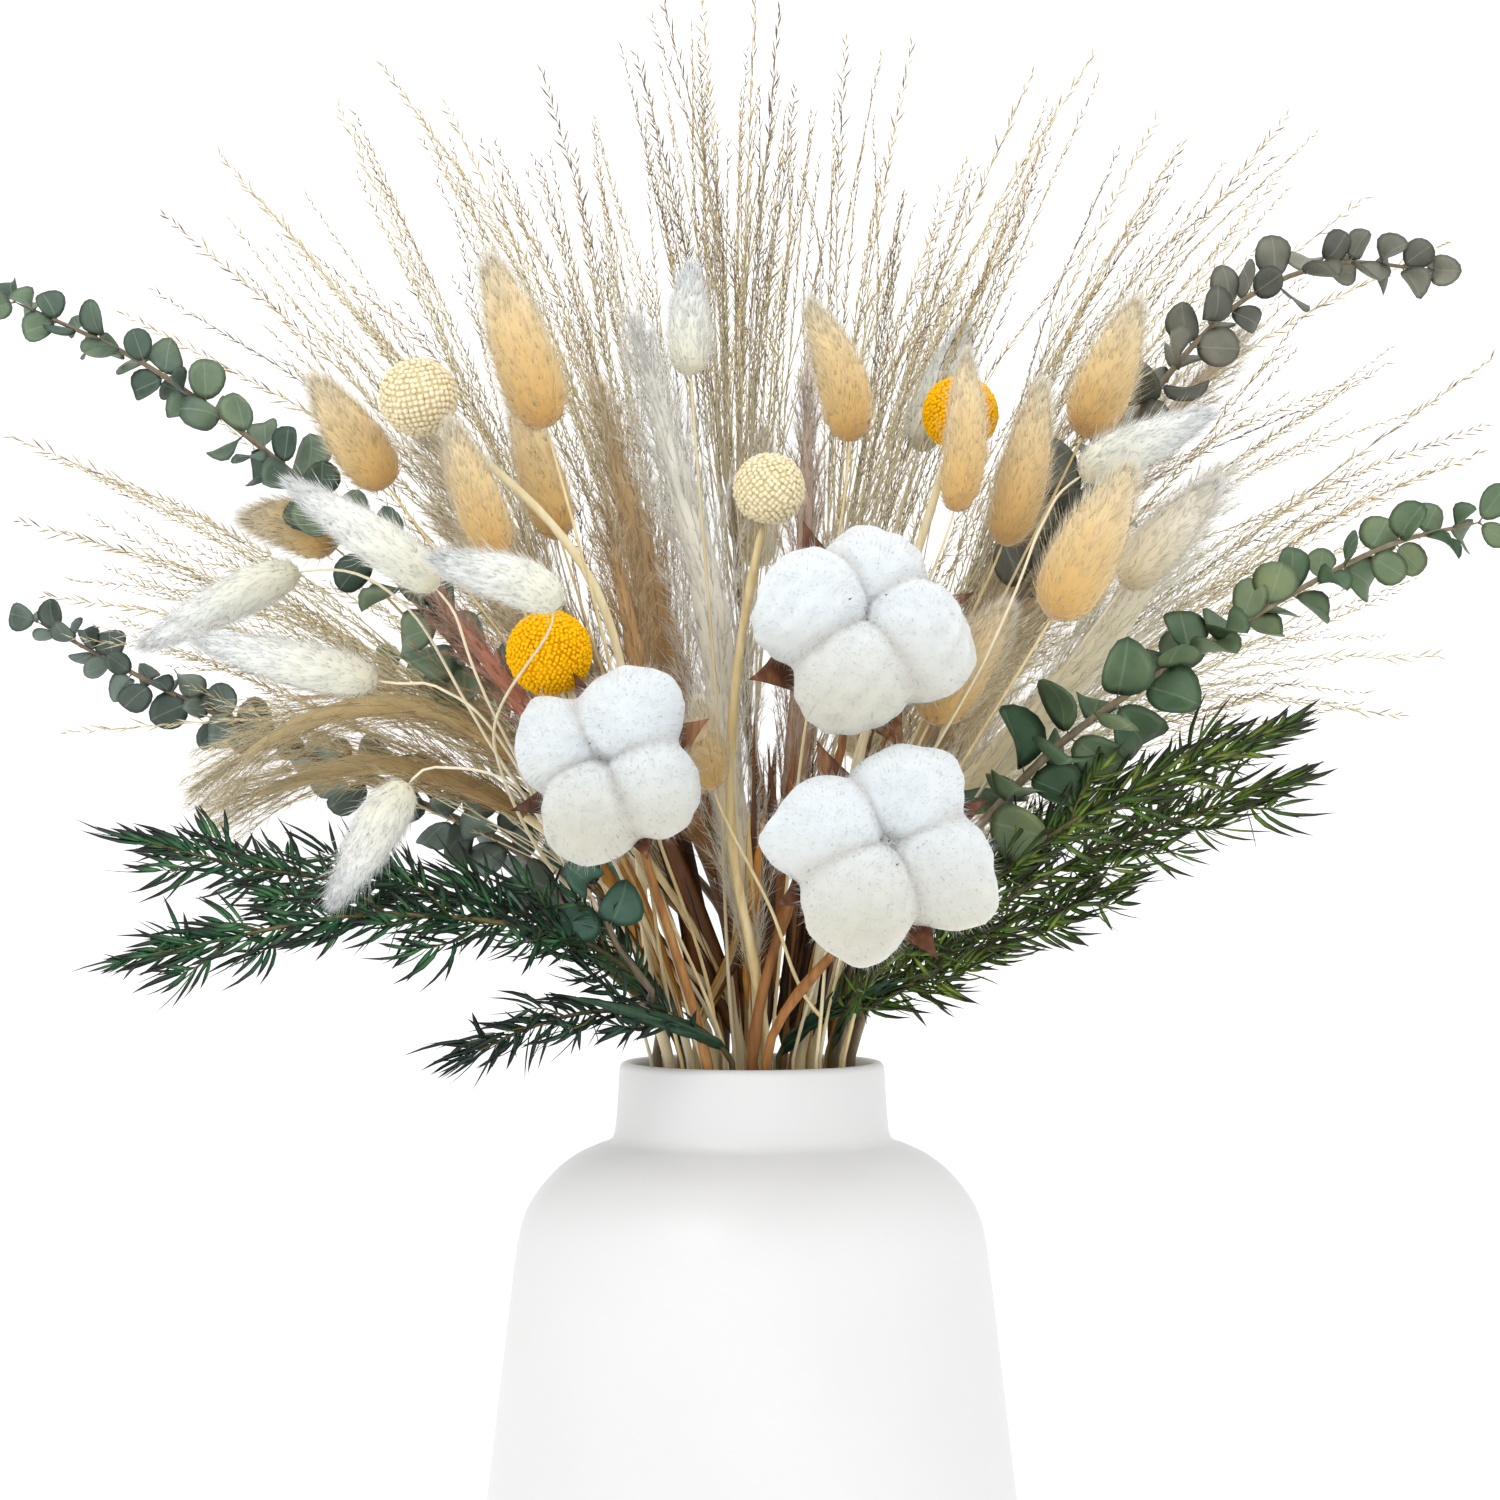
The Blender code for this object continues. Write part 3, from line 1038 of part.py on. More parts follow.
def grow_reed(bouquet, owner, name, foot, shoot, tips):
    growth = Growth()
    curve = shoot.curve
    forks = curve.length - STRAND_SPACING * (1.0 + np.arange(math.ceil((len(tips) - 1) / 2)))
    marks = [mark for mark in shoot.stations(0.0, curve.length, STEM_STEP)
             if mark < forks[-1] - FORK_CLEAR and abs(mark - BLADE_LEVEL) > FORK_CLEAR]
    marks += [BLADE_LEVEL - STRAND_HALF, BLADE_LEVEL + STRAND_HALF]
    marks = sorted(marks) + [fork + step for fork in forks[::-1] for step in (-STRAND_HALF, STRAND_HALF)]
    path = [foot] + [curve.at(mark) for mark in marks]
    headings = [np.array((0.0, 0.0, 1.0))] + [curve.heading(mark) for mark in marks]
    bands, loop = growth.tube(path, headings, [shoot.radius] * len(path), [STEM_SIDES] * len(path))
    waiting = [seen(tip) for tip in tips]
    heading = curve.heading(curve.length)
    end = growth.middle(loop)
    top = min(range(len(waiting)), key=lambda i: -np.dot(unit(waiting[i] - end), heading))
    if not grow_strand(bouquet, owner, growth, tuple(loop), end, heading, waiting.pop(top)):
        growth.keep([tuple(loop)])
    grow_culm_blade(bouquet, owner, growth, bands, curve)
    shorts = bands[-1:-2 * len(forks):-2]
    for band in bands:
        if not any(band is short for short in shorts):
            growth.keep(band)
    for band in shorts:
        for face in band:
            if not waiting or face is band[-1]:
                growth.keep([face])
                continue
            middle, normal = growth.middle(face), growth.normal(face)
            nearest = max(range(len(waiting)), key=lambda i: np.dot(unit(waiting[i] - middle), normal))
            half = (face[0], face[1], face[2])
            growth.keep([(face[0], face[2], face[3])])
            if not grow_strand(bouquet, owner, growth, half, middle, heading, waiting.pop(nearest)):
                growth.keep([half])
    growth.mesh_object(name, "reed")


def grow_plant(bouquet, name, kind, size, made):
    foot, shoots, owner = made
    if kind in HEAD_SHAPES:
        grow_heads(name, kind, size, node_colour(name), foot, shoots)
    elif kind == "craspedia":
        grow_craspedia(name, size, foot, shoots)
    elif kind == "cotton":
        grow_cotton(name, size, foot, shoots)
    elif kind == "reed":
        grow_reed(bouquet, owner, name, foot, shoots[0], size)
    else:
        grow_leafy(bouquet, owner, name, kind, size, foot, shoots)


def node_colour(name):
    matches = [colour for colour in COLOURS if name.startswith(colour)]
    return max(matches, key=len) if matches else "stem"


def main():
    for old in list(bpy.data.objects):
        bpy.data.objects.remove(old)
    make_vase()
    bouquet = Bouquet()
    plants = []
    for name, kind, size, shoots in PLANTS:
        plants.append((name, kind, size, bouquet.place(name, kind, size, shoots)))
    for name, crown, tips in REEDS:
        plants.append((name, "reed", tips, bouquet.place(name, "reed", 0.0, [([], [crown])])))
    for name, kind, size, made in plants:
        grow_plant(bouquet, name, kind, size, made)


main()
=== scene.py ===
# The looks of a dried flower bouquet standing in its white vase.
# The plants are placed by the same tables and rules as the part's solids, and then grown finely.
# Units are millimetres in the tables and metres in the meshes; +Z is up and -Y is the front.
import json
import math

import bpy
import numpy as np
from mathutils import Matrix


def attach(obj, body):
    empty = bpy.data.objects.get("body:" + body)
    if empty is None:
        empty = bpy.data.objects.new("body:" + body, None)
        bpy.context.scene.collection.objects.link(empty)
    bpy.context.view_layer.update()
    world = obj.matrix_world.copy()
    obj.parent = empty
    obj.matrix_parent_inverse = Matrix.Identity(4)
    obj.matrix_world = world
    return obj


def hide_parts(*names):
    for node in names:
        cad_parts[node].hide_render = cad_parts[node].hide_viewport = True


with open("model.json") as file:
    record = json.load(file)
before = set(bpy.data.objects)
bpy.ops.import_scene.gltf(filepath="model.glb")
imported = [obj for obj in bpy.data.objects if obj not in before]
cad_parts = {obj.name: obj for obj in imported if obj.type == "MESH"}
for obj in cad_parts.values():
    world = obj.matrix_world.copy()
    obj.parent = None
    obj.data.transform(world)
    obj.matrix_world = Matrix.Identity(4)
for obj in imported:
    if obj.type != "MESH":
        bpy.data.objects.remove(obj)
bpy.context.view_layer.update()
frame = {"record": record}

MM = 0.001
TURN = 2.0 * math.pi          # a full turn
TINY = 1e-9                   # keeps a division by nothing from failing
GAP = 0.3                     # clearance between neighbouring pieces
# The vase, turned: foot, shoulder, neck and mouth
VASE_HEIGHT = 220.0
VASE_WALL = 5.0
FOOT_RADIUS = 89.0
BODY_LOW = (101.0, 13.0)      # radius and height where the foot's round edge ends
BODY_MIDDLE = (93.6, 78.0)
BODY_HIGH = (84.6, 154.0)     # radius and height where the shoulder starts
NECK_FOOT = (50.5, 192.0)
LIP_RADIUS = 47.7
BORE_RADIUS = 42.5
# The vase's outside from its foot to its lip, as (radius, height)
VASE_OUTSIDE = ((FOOT_RADIUS, 0.0), (FOOT_RADIUS + 7.5, 3.2), (BODY_LOW[0] - 0.8, 8.0),
                BODY_LOW, BODY_MIDDLE, BODY_HIGH, (81.9, 166.0), (74.8, 177.0), (64.5, 185.6), (55.5, 190.0),
                NECK_FOOT, (LIP_RADIUS + 1.2, 199.0), (LIP_RADIUS, VASE_HEIGHT - VASE_WALL / 2))
# The eye that the arrangement is composed for, in front of the vase
EYE_DISTANCE = 1600.0
EYE_HEIGHT = 332.0
EYE_SIDE = -0.7
FRAME_WIDTH = 540.0           # what the camera sees across, at the vase's axis
# Where stems pass the mouth, and how they cross the vase to its floor
FLOOR = VASE_WALL + 7.0
MOUTH_LEVEL = 222.0
SLOTS = 64
SLOT_REACH = 38.6
GOLDEN_ANGLE = math.pi * (3.0 - math.sqrt(5.0))
STEM_TWIST = math.radians(60.0)
STEM_SPREAD = 0.8
NECK_UP = np.array((0.0, 0.0, 0.4))      # how much a stem turns up as it leaves the mouth, and outwards
NECK_OUT = 0.5
NECK_REACH = 60.0
NECK_WALL_RUN = 12.0          # below this much of the neck the vase's body is wide
STEM_BOW = 0.10               # how far a stem bows inwards, as a share of its lean
FORK_LEVEL = 16.0             # how far above the mouth a shared stem forks
FORK_FORWARD = 0.8            # how much a branch keeps to its stem's direction where it forks
# The search for room: the tries, and how far the last of them move, bend and change slots
ATTEMPTS = 1200
SHIFT_REACH = np.array((10.0, 26.0, 10.0))
BEND_REACH = np.array((22.0, 22.0, 8.0))
CHOICE_REACH = 14.0
STEM_SHARE = 0.7              # the share of a head's shift that its stem follows
FORK_STEP = 3.0
ROD_SPOTS = 6                 # where along a rod its distance from the vase is taken
# The room a head takes, for a head of size 1: along a tail and a plume, and round a ball and a boll
TAIL_ROOM = np.array((0.6, 0.92, 0.92, 0.75, 0.4))
PLUME_ROOM = np.array((0.5, 0.85, 0.92, 0.92, 0.85, 0.65, 0.4))
BALL_ROOM = 1.04
BOLL_ROOM = 1.07
BALL_ROD = np.array((0.0, 0.0, 0.1))
BOLL_STAND = 0.98             # from the stem's end to the boll's middle
FORK_RUN = 8.0                # a branch's length before its first free ring
FORK_SPAN = np.array((2.0, 5.0, FORK_RUN))
FORK_ROOM = 0.5               # the room round a branch's first stretch, beside its own radius
STEM_STEP = 25.0              # between the rings of a stem
HEADING_REACH = 0.5           # how far either side of a place a curve's heading is taken
NODE_END = 0.4                # the last leaves stop this many sizes before the tip
BOLL_TURN = 0.006             # how much a boll faces away from the vase's axis, for a millimetre beside it
BOLL_RISE = 0.25              # and how much it faces up
WISH_MARGIN = 1e-6
NODE_SPACING = {"eucalyptus": 2.3, "fern": 0.5}    # between leaves or needles, for one as long as 1
SLOT_SPREAD = np.array((300.0, 190.0))   # how far out a plant reaches when its stem takes an outer slot
SEED = 137
STEM_RADIUS = {"cotton": 2.2, "craspedia": 1.5, "tail": 1.0, "plume": 1.4,
               "eucalyptus": 1.7, "fern": 1.2, "reed": 1.3}
# Each plant: name, kind, size, then its shoots. A shoot is its stem's points, if it bends on the way, and
# its head's points: across, depth and height as the eye sees them on the plane through the vase's axis.
PLANTS = [
    ("cotton_lower", "cotton", 35.0, [([(40, -52, 272)], [(50, -105, 296)])]),
    ("cotton_left", "cotton", 31.0, [([(-38, -48, 292)], [(-53, -95, 325)])]),
    ("cotton_upper", "cotton", 36.0, [([(28, -38, 335)], [(41, -87, 373)])]),
    ("craspedia_cream_middle", "craspedia", 12.2, [([(-4, -46, 300), (-2, -52, 360)], [(6, -62, 426)])]),
    ("craspedia_cream_left", "craspedia", 13.5, [([(-52, -32, 380)], [(-120, -50, 459)])]),
    ("craspedia_yellow_left", "craspedia", 14.5, [([(-45, -45, 310)], [(-73, -70, 367)])]),
    ("craspedia_yellow_right", "craspedia", 13.3, [([], [(75, -18, 453)])]),
    ("tail_tan_low_right", "tail", 14.5, [([], [(64, -48, 342), (93, -52, 384)])]),
    ("plume_rust_left", "plume", 9.0, [([], [(-66, -48, 324), (-84, -52, 350), (-114, -52, 388)])]),
    ("tail_tan_left", "tail", 13.0, [
        ([], [(-127, -50, 432), (-155, -55, 472)]),
        ([], [(-150, -5, 404), (-184, -8, 415)])]),
    ("tail_tan_inner_left", "tail", 11.5, [
        ([], [(-91, -62, 401), (-109, -66, 450)]),
        ([], [(-69, -8, 408), (-86, -8, 462)])]),
    ("tail_tan_tall_left", "tail", 15.0, [([], [(-74, -48, 448), (-95, -50, 510)])]),
    ("tail_tan_middle", "tail", 12.0, [([], [(35, -30, 443), (21, -32, 494)])]),
    ("tail_tan_slim", "tail", 10.0, [
        ([], [(73, -62, 418), (78, -60, 476)]),
        ([], [(-14, -52, 318), (-19, -54, 350)])]),
    ("tail_tan_inner_right", "tail", 12.0, [
        ([], [(91, -45, 405), (106, -47, 464)]),
        ([], [(134, -32, 391), (168, -34, 429)])]),
    ("tail_tan_tall_right", "tail", 14.0, [([], [(119, -20, 445), (139, -22, 494)])]),
    ("tail_tan_right", "tail", 16.0, [([], [(107, -72, 379), (136, -78, 434)])]),
    ("tail_tan_back_left", "tail", 13.0, [
        ([], [(-72, 62, 372), (-104, 84, 415)]),
        ([], [(-30, 92, 352), (-42, 128, 392)])]),
    ("tail_tan_back_right", "tail", 13.0, [
        ([], [(84, 66, 380), (112, 92, 420)]),
        ([], [(38, 88, 330), (52, 126, 362)])]),
    ("tail_white_middle", "tail", 10.0, [([], [(-22, -34, 467), (-22, -34, 507)])]),
    ("tail_white_right", "tail", 11.0, [
        ([(84, -60, 379), (102, -60, 422)], [(116, -58, 433), (163, -58, 456)])]),
    ("tail_white_left", "tail", 11.0, [
        ([(-80, -55, 350)], [(-113, -78, 389), (-167, -86, 428)]),
        ([(-52, -56, 328)], [(-77, -84, 386), (-121, -100, 404)])]),
    ("tail_white_far_left", "tail", 10.5, [
        ([(-96, -45, 337), (-127, -40, 386)], [(-163, -40, 396), (-221, -44, 369)]),
        ([(-87, -55, 330), (-112, -68, 354)], [(-135, -70, 357), (-202, -78, 372)])]),
    ("tail_white_hanging", "tail", 11.0, [
        ([(-69, -62, 303), (-85, -86, 322), (-107, -92, 327)], [(-123, -94, 319), (-151, -98, 275)])]),
    ("tail_white_back", "tail", 11.0, [
        ([], [(2, 84, 398), (4, 108, 448)]),
        ([], [(60, 62, 440), (78, 80, 486)])]),
    ("plume_white", "plume", 17.0, [([], [(-8, -8, 318), (-14, -12, 385), (-40, -8, 483)])]),
    ("plume_tan_left", "plume", 16.0, [([], [(-24, 14, 322), (-37, 18, 384), (-56, 24, 460)])]),
    ("plume_brown_left", "plume", 11.0, [([], [(-34, -26, 326), (-43, -28, 366), (-52, -28, 412)])]),
    ("plume_beige_left", "plume", 16.0, [([], [(-56, -4, 338), (-78, 2, 387), (-118, 8, 448)])]),
    ("plume_drooping_left", "plume", 15.0, [
        ([(-52, -36, 290)], [(-84, -48, 326), (-122, -54, 349), (-166, -56, 346), (-203, -58, 325)]),
        ([(-52, -20, 282)], [(-96, -20, 314), (-140, -22, 326), (-190, -24, 312)])]),
    ("plume_rose", "plume", 12.0, [([], [(16, 2, 330), (19, 8, 392), (20, 12, 465)])]),
    ("plume_cream_right", "plume", 18.0, [([], [(74, -20, 312), (114, -22, 356), (168, -18, 430)])]),
    ("plume_beige_right", "plume", 15.0, [([], [(58, 18, 318), (100, 26, 390), (178, 36, 480)])]),
    ("plume_back_left", "plume", 16.0, [([], [(-36, 46, 300), (-62, 74, 352), (-108, 112, 418)])]),
    ("plume_back_right", "plume", 16.0, [([], [(40, 52, 310), (60, 88, 350), (92, 132, 398)])]),
    ("eucalyptus_left_high", "eucalyptus", 9.0, [
        ([(-56, -24, 300)], [(-104, -28, 359), (-159, -24, 418), (-217, -20, 463), (-270, -12, 489)])]),
    ("eucalyptus_left_low", "eucalyptus", 8.5, [
        ([], [(-44, -46, 252), (-64, -48, 270), (-91, -36, 298), (-163, -22, 330), (-217, -10, 355),
              (-268, 0, 382)]),
        ([], [(-36, -50, 242), (-50, -56, 262), (-58, -60, 284)])]),
    ("eucalyptus_right_low", "eucalyptus", 10.5, [
        ([(52, -34, 274)],
         [(93, -42, 316), (123, -48, 343), (176, -45, 377), (226, -40, 404), (264, -36, 414)])]),
    ("eucalyptus_right_high", "eucalyptus", 10.0, [
        ([(46, 6, 296)], [(104, 12, 400), (161, 16, 480), (204, 20, 506), (245, 26, 505)])]),
    ("eucalyptus_back", "eucalyptus", 10.0, [
        ([(-12, 44, 270)], [(-46, 84, 310), (-92, 128, 344), (-146, 160, 362)])]),
    ("fern_left", "fern", 20.0, [
        ([(-38, -44, 250)], [(-66, -56, 266), (-100, -64, 278), (-140, -64, 284), (-182, -60, 290),
                             (-222, -54, 300)]),
        ([(-60, -56, 262)], [(-80, -68, 268), (-110, -72, 272), (-150, -76, 272), (-228, -72, 256)])]),
    ("fern_left_rim", "fern", 18.0, [
        ([(-34, -50, 236)], [(-56, -62, 238), (-80, -68, 232), (-104, -70, 221)])]),
    ("fern_right", "fern", 20.0, [
        ([(40, -36, 246)], [(56, -42, 262), (82, -46, 282), (125, -50, 312), (192, -44, 340)]),
        ([], [(76, -32, 266), (108, -30, 288), (140, -28, 302), (196, -22, 322)])]),
    ("fern_right_rim", "fern", 18.0, [
        ([(42, -12, 240)], [(56, -16, 248), (78, -18, 260), (106, -16, 274), (134, -12, 286)])]),
    ("fern_back", "fern", 18.0, [([(20, 42, 250)], [(48, 72, 270), (88, 110, 296), (126, 148, 312)])]),
]
# Each culm of wispy grass: name, the point where it parts into strands, and the strands' tips
REEDS = [
    ("reed_left", (-88, 18, 338), [(-269, 20, 446), (-266, 2, 415), (-257, 58, 388), (-249, 8, 338),
        (-238, 70, 432)]),
    ("reed_left_high", (-56, 38, 368), [(-228, 30, 490), (-213, 60, 526), (-183, 22, 536),
        (-193, 118, 548), (-150, 92, 566)]),
    ("reed_top_left", (-34, 58, 398), [(-134, 104, 580), (-111, 132, 566), (-98, 40, 552), (-76, 92, 578),
        (-64, 156, 548)]),
    ("reed_top", (-6, 70, 412), [(-42, 100, 584), (-34, 52, 610), (-18, 144, 602), (2, 78, 616),
        (10, 34, 600), (16, 170, 572)]),
    ("reed_top_right", (28, 60, 398), [(34, 104, 590), (58, 62, 588), (78, 142, 546), (102, 92, 578),
        (124, 52, 584), (92, 172, 530)]),
    ("reed_right_high", (66, 42, 376), [(146, 100, 560), (156, 48, 552), (194, 82, 562), (190, 132, 540),
        (222, 56, 532), (252, 98, 516)]),
    ("reed_right", (92, 16, 340), [(268, 40, 474), (266, 82, 450), (264, 12, 440), (250, -8, 366),
        (236, 30, 344)]),
    ("reed_back_left", (-40, 62, 330), [(-176, 118, 440), (-150, 160, 420), (-112, 180, 452),
        (-200, 96, 400), (-70, 186, 470)]),
    ("reed_back_right", (40, 64, 332), [(170, 122, 436), (140, 168, 428), (106, 186, 466),
        (196, 104, 396), (60, 192, 486)]),
]
LOCK_TILT = np.array((0.35, 0.0, 1.0))    # the way that the first lock lies from the boll's middle


def unit(vector):
    return vector / np.linalg.norm(vector)


def square_to(direction, hint):
    """The unit vector at right angles to a direction that leans most towards a hint."""
    return unit(hint - direction * np.dot(hint, direction))


def seen(point):
    """The place in space of a point given as the eye sees it."""
    x, y, z = point
    nearness = (EYE_DISTANCE + y) / EYE_DISTANCE
    return np.array((x * nearness, y, EYE_HEIGHT + (z - EYE_HEIGHT) * nearness))


class Curve:
    """A smooth line through points, measured along its length."""

    def __init__(self, points, start=None, end=None, steps=14):
        knots = np.array(points, dtype=float)
        slopes = np.gradient(knots, axis=0)
        slopes[-1] = knots[-1] - knots[-2]
        if end is not None:
            slopes[-1] = end * np.linalg.norm(slopes[-1])
        if start is not None:
            slopes[0] = start * np.linalg.norm(knots[1] - knots[0])
        share = np.linspace(0.0, 1.0, steps, endpoint=False)[:, None]
        square, cube = share ** 2, share ** 3
        dense = [knots[i] * (2 * cube - 3 * square + 1) + slopes[i] * (cube - 2 * square + share)
                 + knots[i + 1] * (3 * square - 2 * cube) + slopes[i + 1] * (cube - square)
                 for i in range(len(knots) - 1)]
        self.points = np.vstack(dense + [knots[-1:]])
        steps_along = np.linalg.norm(np.diff(self.points, axis=0), axis=1)
        self.marks = np.concatenate(([0.0], np.cumsum(steps_along)))
        self.knots = self.marks[::steps]
        self.length = self.marks[-1]

    def at(self, along):
        return np.stack([np.interp(along, self.marks, axis) for axis in self.points.T], axis=-1)

    def heading(self, along):
        ahead, behind = min(along + HEADING_REACH, self.length), max(along - HEADING_REACH, 0.0)
        return unit(self.at(ahead) - self.at(behind))


def rod_gaps(starts, ends, radii, other_starts, other_ends, other_radii):
    """The clearance between each rod and each other rod."""
    run = (ends - starts)[:, None]
    other_run = (other_ends - other_starts)[None]
    between = starts[:, None] - other_starts[None]
    a = (run * run).sum(-1)
    e = (other_run * other_run).sum(-1)
    b = (run * other_run).sum(-1)
    c = (run * between).sum(-1)
    f = (other_run * between).sum(-1)
    spread = a * e - b * b
    s = np.clip(np.where(spread > TINY, (b * f - c * e) / np.maximum(spread, TINY), 0.0), 0.0, 1.0)
    t = np.clip((b * s + f) / e, 0.0, 1.0)
    s = np.clip((b * t - c) / a, 0.0, 1.0)
    apart = np.linalg.norm(between + s[..., None] * run - t[..., None] * other_run, axis=-1)
    return apart - radii[:, None] - other_radii[None]


class Rods:
    """Round-ended rods, each with two ends, a radius and the number of the plant that it belongs to."""

    def __init__(self, starts=(), ends=(), radii=(), owners=None):
        self.starts = np.array(starts, dtype=float).reshape(-1, 3)
        self.ends = np.array(ends, dtype=float).reshape(-1, 3)
        self.radii = np.array(radii, dtype=float).reshape(-1)
        self.owners = np.zeros(len(self.radii), dtype=int) if owners is None else owners

    @classmethod
    def along(cls, points, radii):
        """A chain of rods through points, each as thick as its thicker end."""
        radii = np.broadcast_to(np.array(radii, dtype=float), (len(points),))
        return cls(points[:-1], points[1:], np.maximum(radii[:-1], radii[1:]))

    def owned(self, owner):
        return Rods(self.starts, self.ends, self.radii, np.full(len(self.radii), owner))

    def plus(self, other):
        return Rods(np.vstack((self.starts, other.starts)), np.vstack((self.ends, other.ends)),
                    np.append(self.radii, other.radii), np.append(self.owners, other.owners))

    def clear_of(self, other, but=-1):
        """Whether none of these comes near the others, leaving out those of one plant."""
        if not len(self.radii) or not len(other.radii):
            return True
        low = np.minimum(self.starts, self.ends).min(0) - self.radii.max() - GAP
        high = np.maximum(self.starts, self.ends).max(0) + self.radii.max() + GAP
        reach = other.radii[:, None]
        near = (np.maximum(other.starts, other.ends) + reach > low).all(1) & (other.owners != but)
        near &= (np.minimum(other.starts, other.ends) - reach < high).all(1)
        if not near.any():
            return True
        gaps = rod_gaps(self.starts, self.ends, self.radii,
                        other.starts[near], other.ends[near], other.radii[near])
        return gaps.min() > GAP

    def clear_of_vase(self):
        """Whether these stay above the vase, outside it, in its neck or in its body."""
        shares = np.linspace(0.0, 1.0, ROD_SPOTS)[:, None, None]
        spots = (self.starts + shares * (self.ends - self.starts)).reshape(-1, 3)
        radii = np.tile(self.radii, ROD_SPOTS)
        out = np.hypot(spots[:, 0], spots[:, 1])
        above = spots[:, 2] - radii > VASE_HEIGHT + GAP
        in_body = (spots[:, 2] < NECK_FOOT[1] - NECK_WALL_RUN) & (out < BORE_RADIUS)
        inside = (out + radii < BORE_RADIUS - GAP) | in_body
        levels, widths = np.array([point[::-1] for point in VASE_OUTSIDE]).T
        outside = out - radii > np.interp(spots[:, 2] - radii, levels, widths) + GAP
        return bool((above | inside | outside).all())


def slot_place(slot):
    """Where a stem passes the mouth: the slots fill it as seeds fill a flower's disc."""
    radius = SLOT_REACH * math.sqrt((slot + 0.5) / SLOTS)
    angle = slot * GOLDEN_ANGLE
    return np.array((radius * math.cos(angle), radius * math.sin(angle)))


def foot_place(mouth):
    """Where that stem stands on the vase's floor. All stems turn the same way, so none cross inside."""
    turned = complex(*mouth) * STEM_SPREAD * complex(math.cos(STEM_TWIST), math.sin(STEM_TWIST))
    return np.array((turned.real, turned.imag, FLOOR + GAP))


class Shoot:
    """One stem or branch: its curve, where its head starts along it, and its radius."""

    def __init__(self, curve, head_start, radius):
        self.curve = curve
        self.head_start = head_start
        self.radius = radius

    def stations(self, low, high, spacing):
        count = max(1, round((high - low) / spacing))
        return np.linspace(low, high, count + 1)


def head_rods(kind, size, shoot):
    """The room that a shoot's head takes up."""
    curve, low, high = shoot.curve, shoot.head_start, shoot.curve.length
    if kind == "tail":
        return Rods.along(curve.at(np.linspace(low, high, len(TAIL_ROOM))), size * TAIL_ROOM)
    if kind == "plume":
        return Rods.along(curve.at(np.linspace(low, high, len(PLUME_ROOM))), size * PLUME_ROOM)
    if kind == "craspedia":
        end = curve.at(high)
        return Rods([end], [end + BALL_ROD], [size * BALL_ROOM])
    if kind == "cotton":
        centre = curve.at(high) + curve.heading(high) * size * BOLL_STAND
        return Rods([centre], [centre + BALL_ROD], [size * BOLL_ROOM])
    if kind in NODE_SPACING:
        return Rods.along(curve.at(np.append(leaf_nodes(kind, size, shoot), high)), shoot.radius)
    return Rods()


def leaf_nodes(kind, size, shoot):
    """Where along a leafy stem its leaves or needles grow."""
    return shoot.stations(shoot.head_start, shoot.curve.length - NODE_END * size, NODE_SPACING[kind] * size)


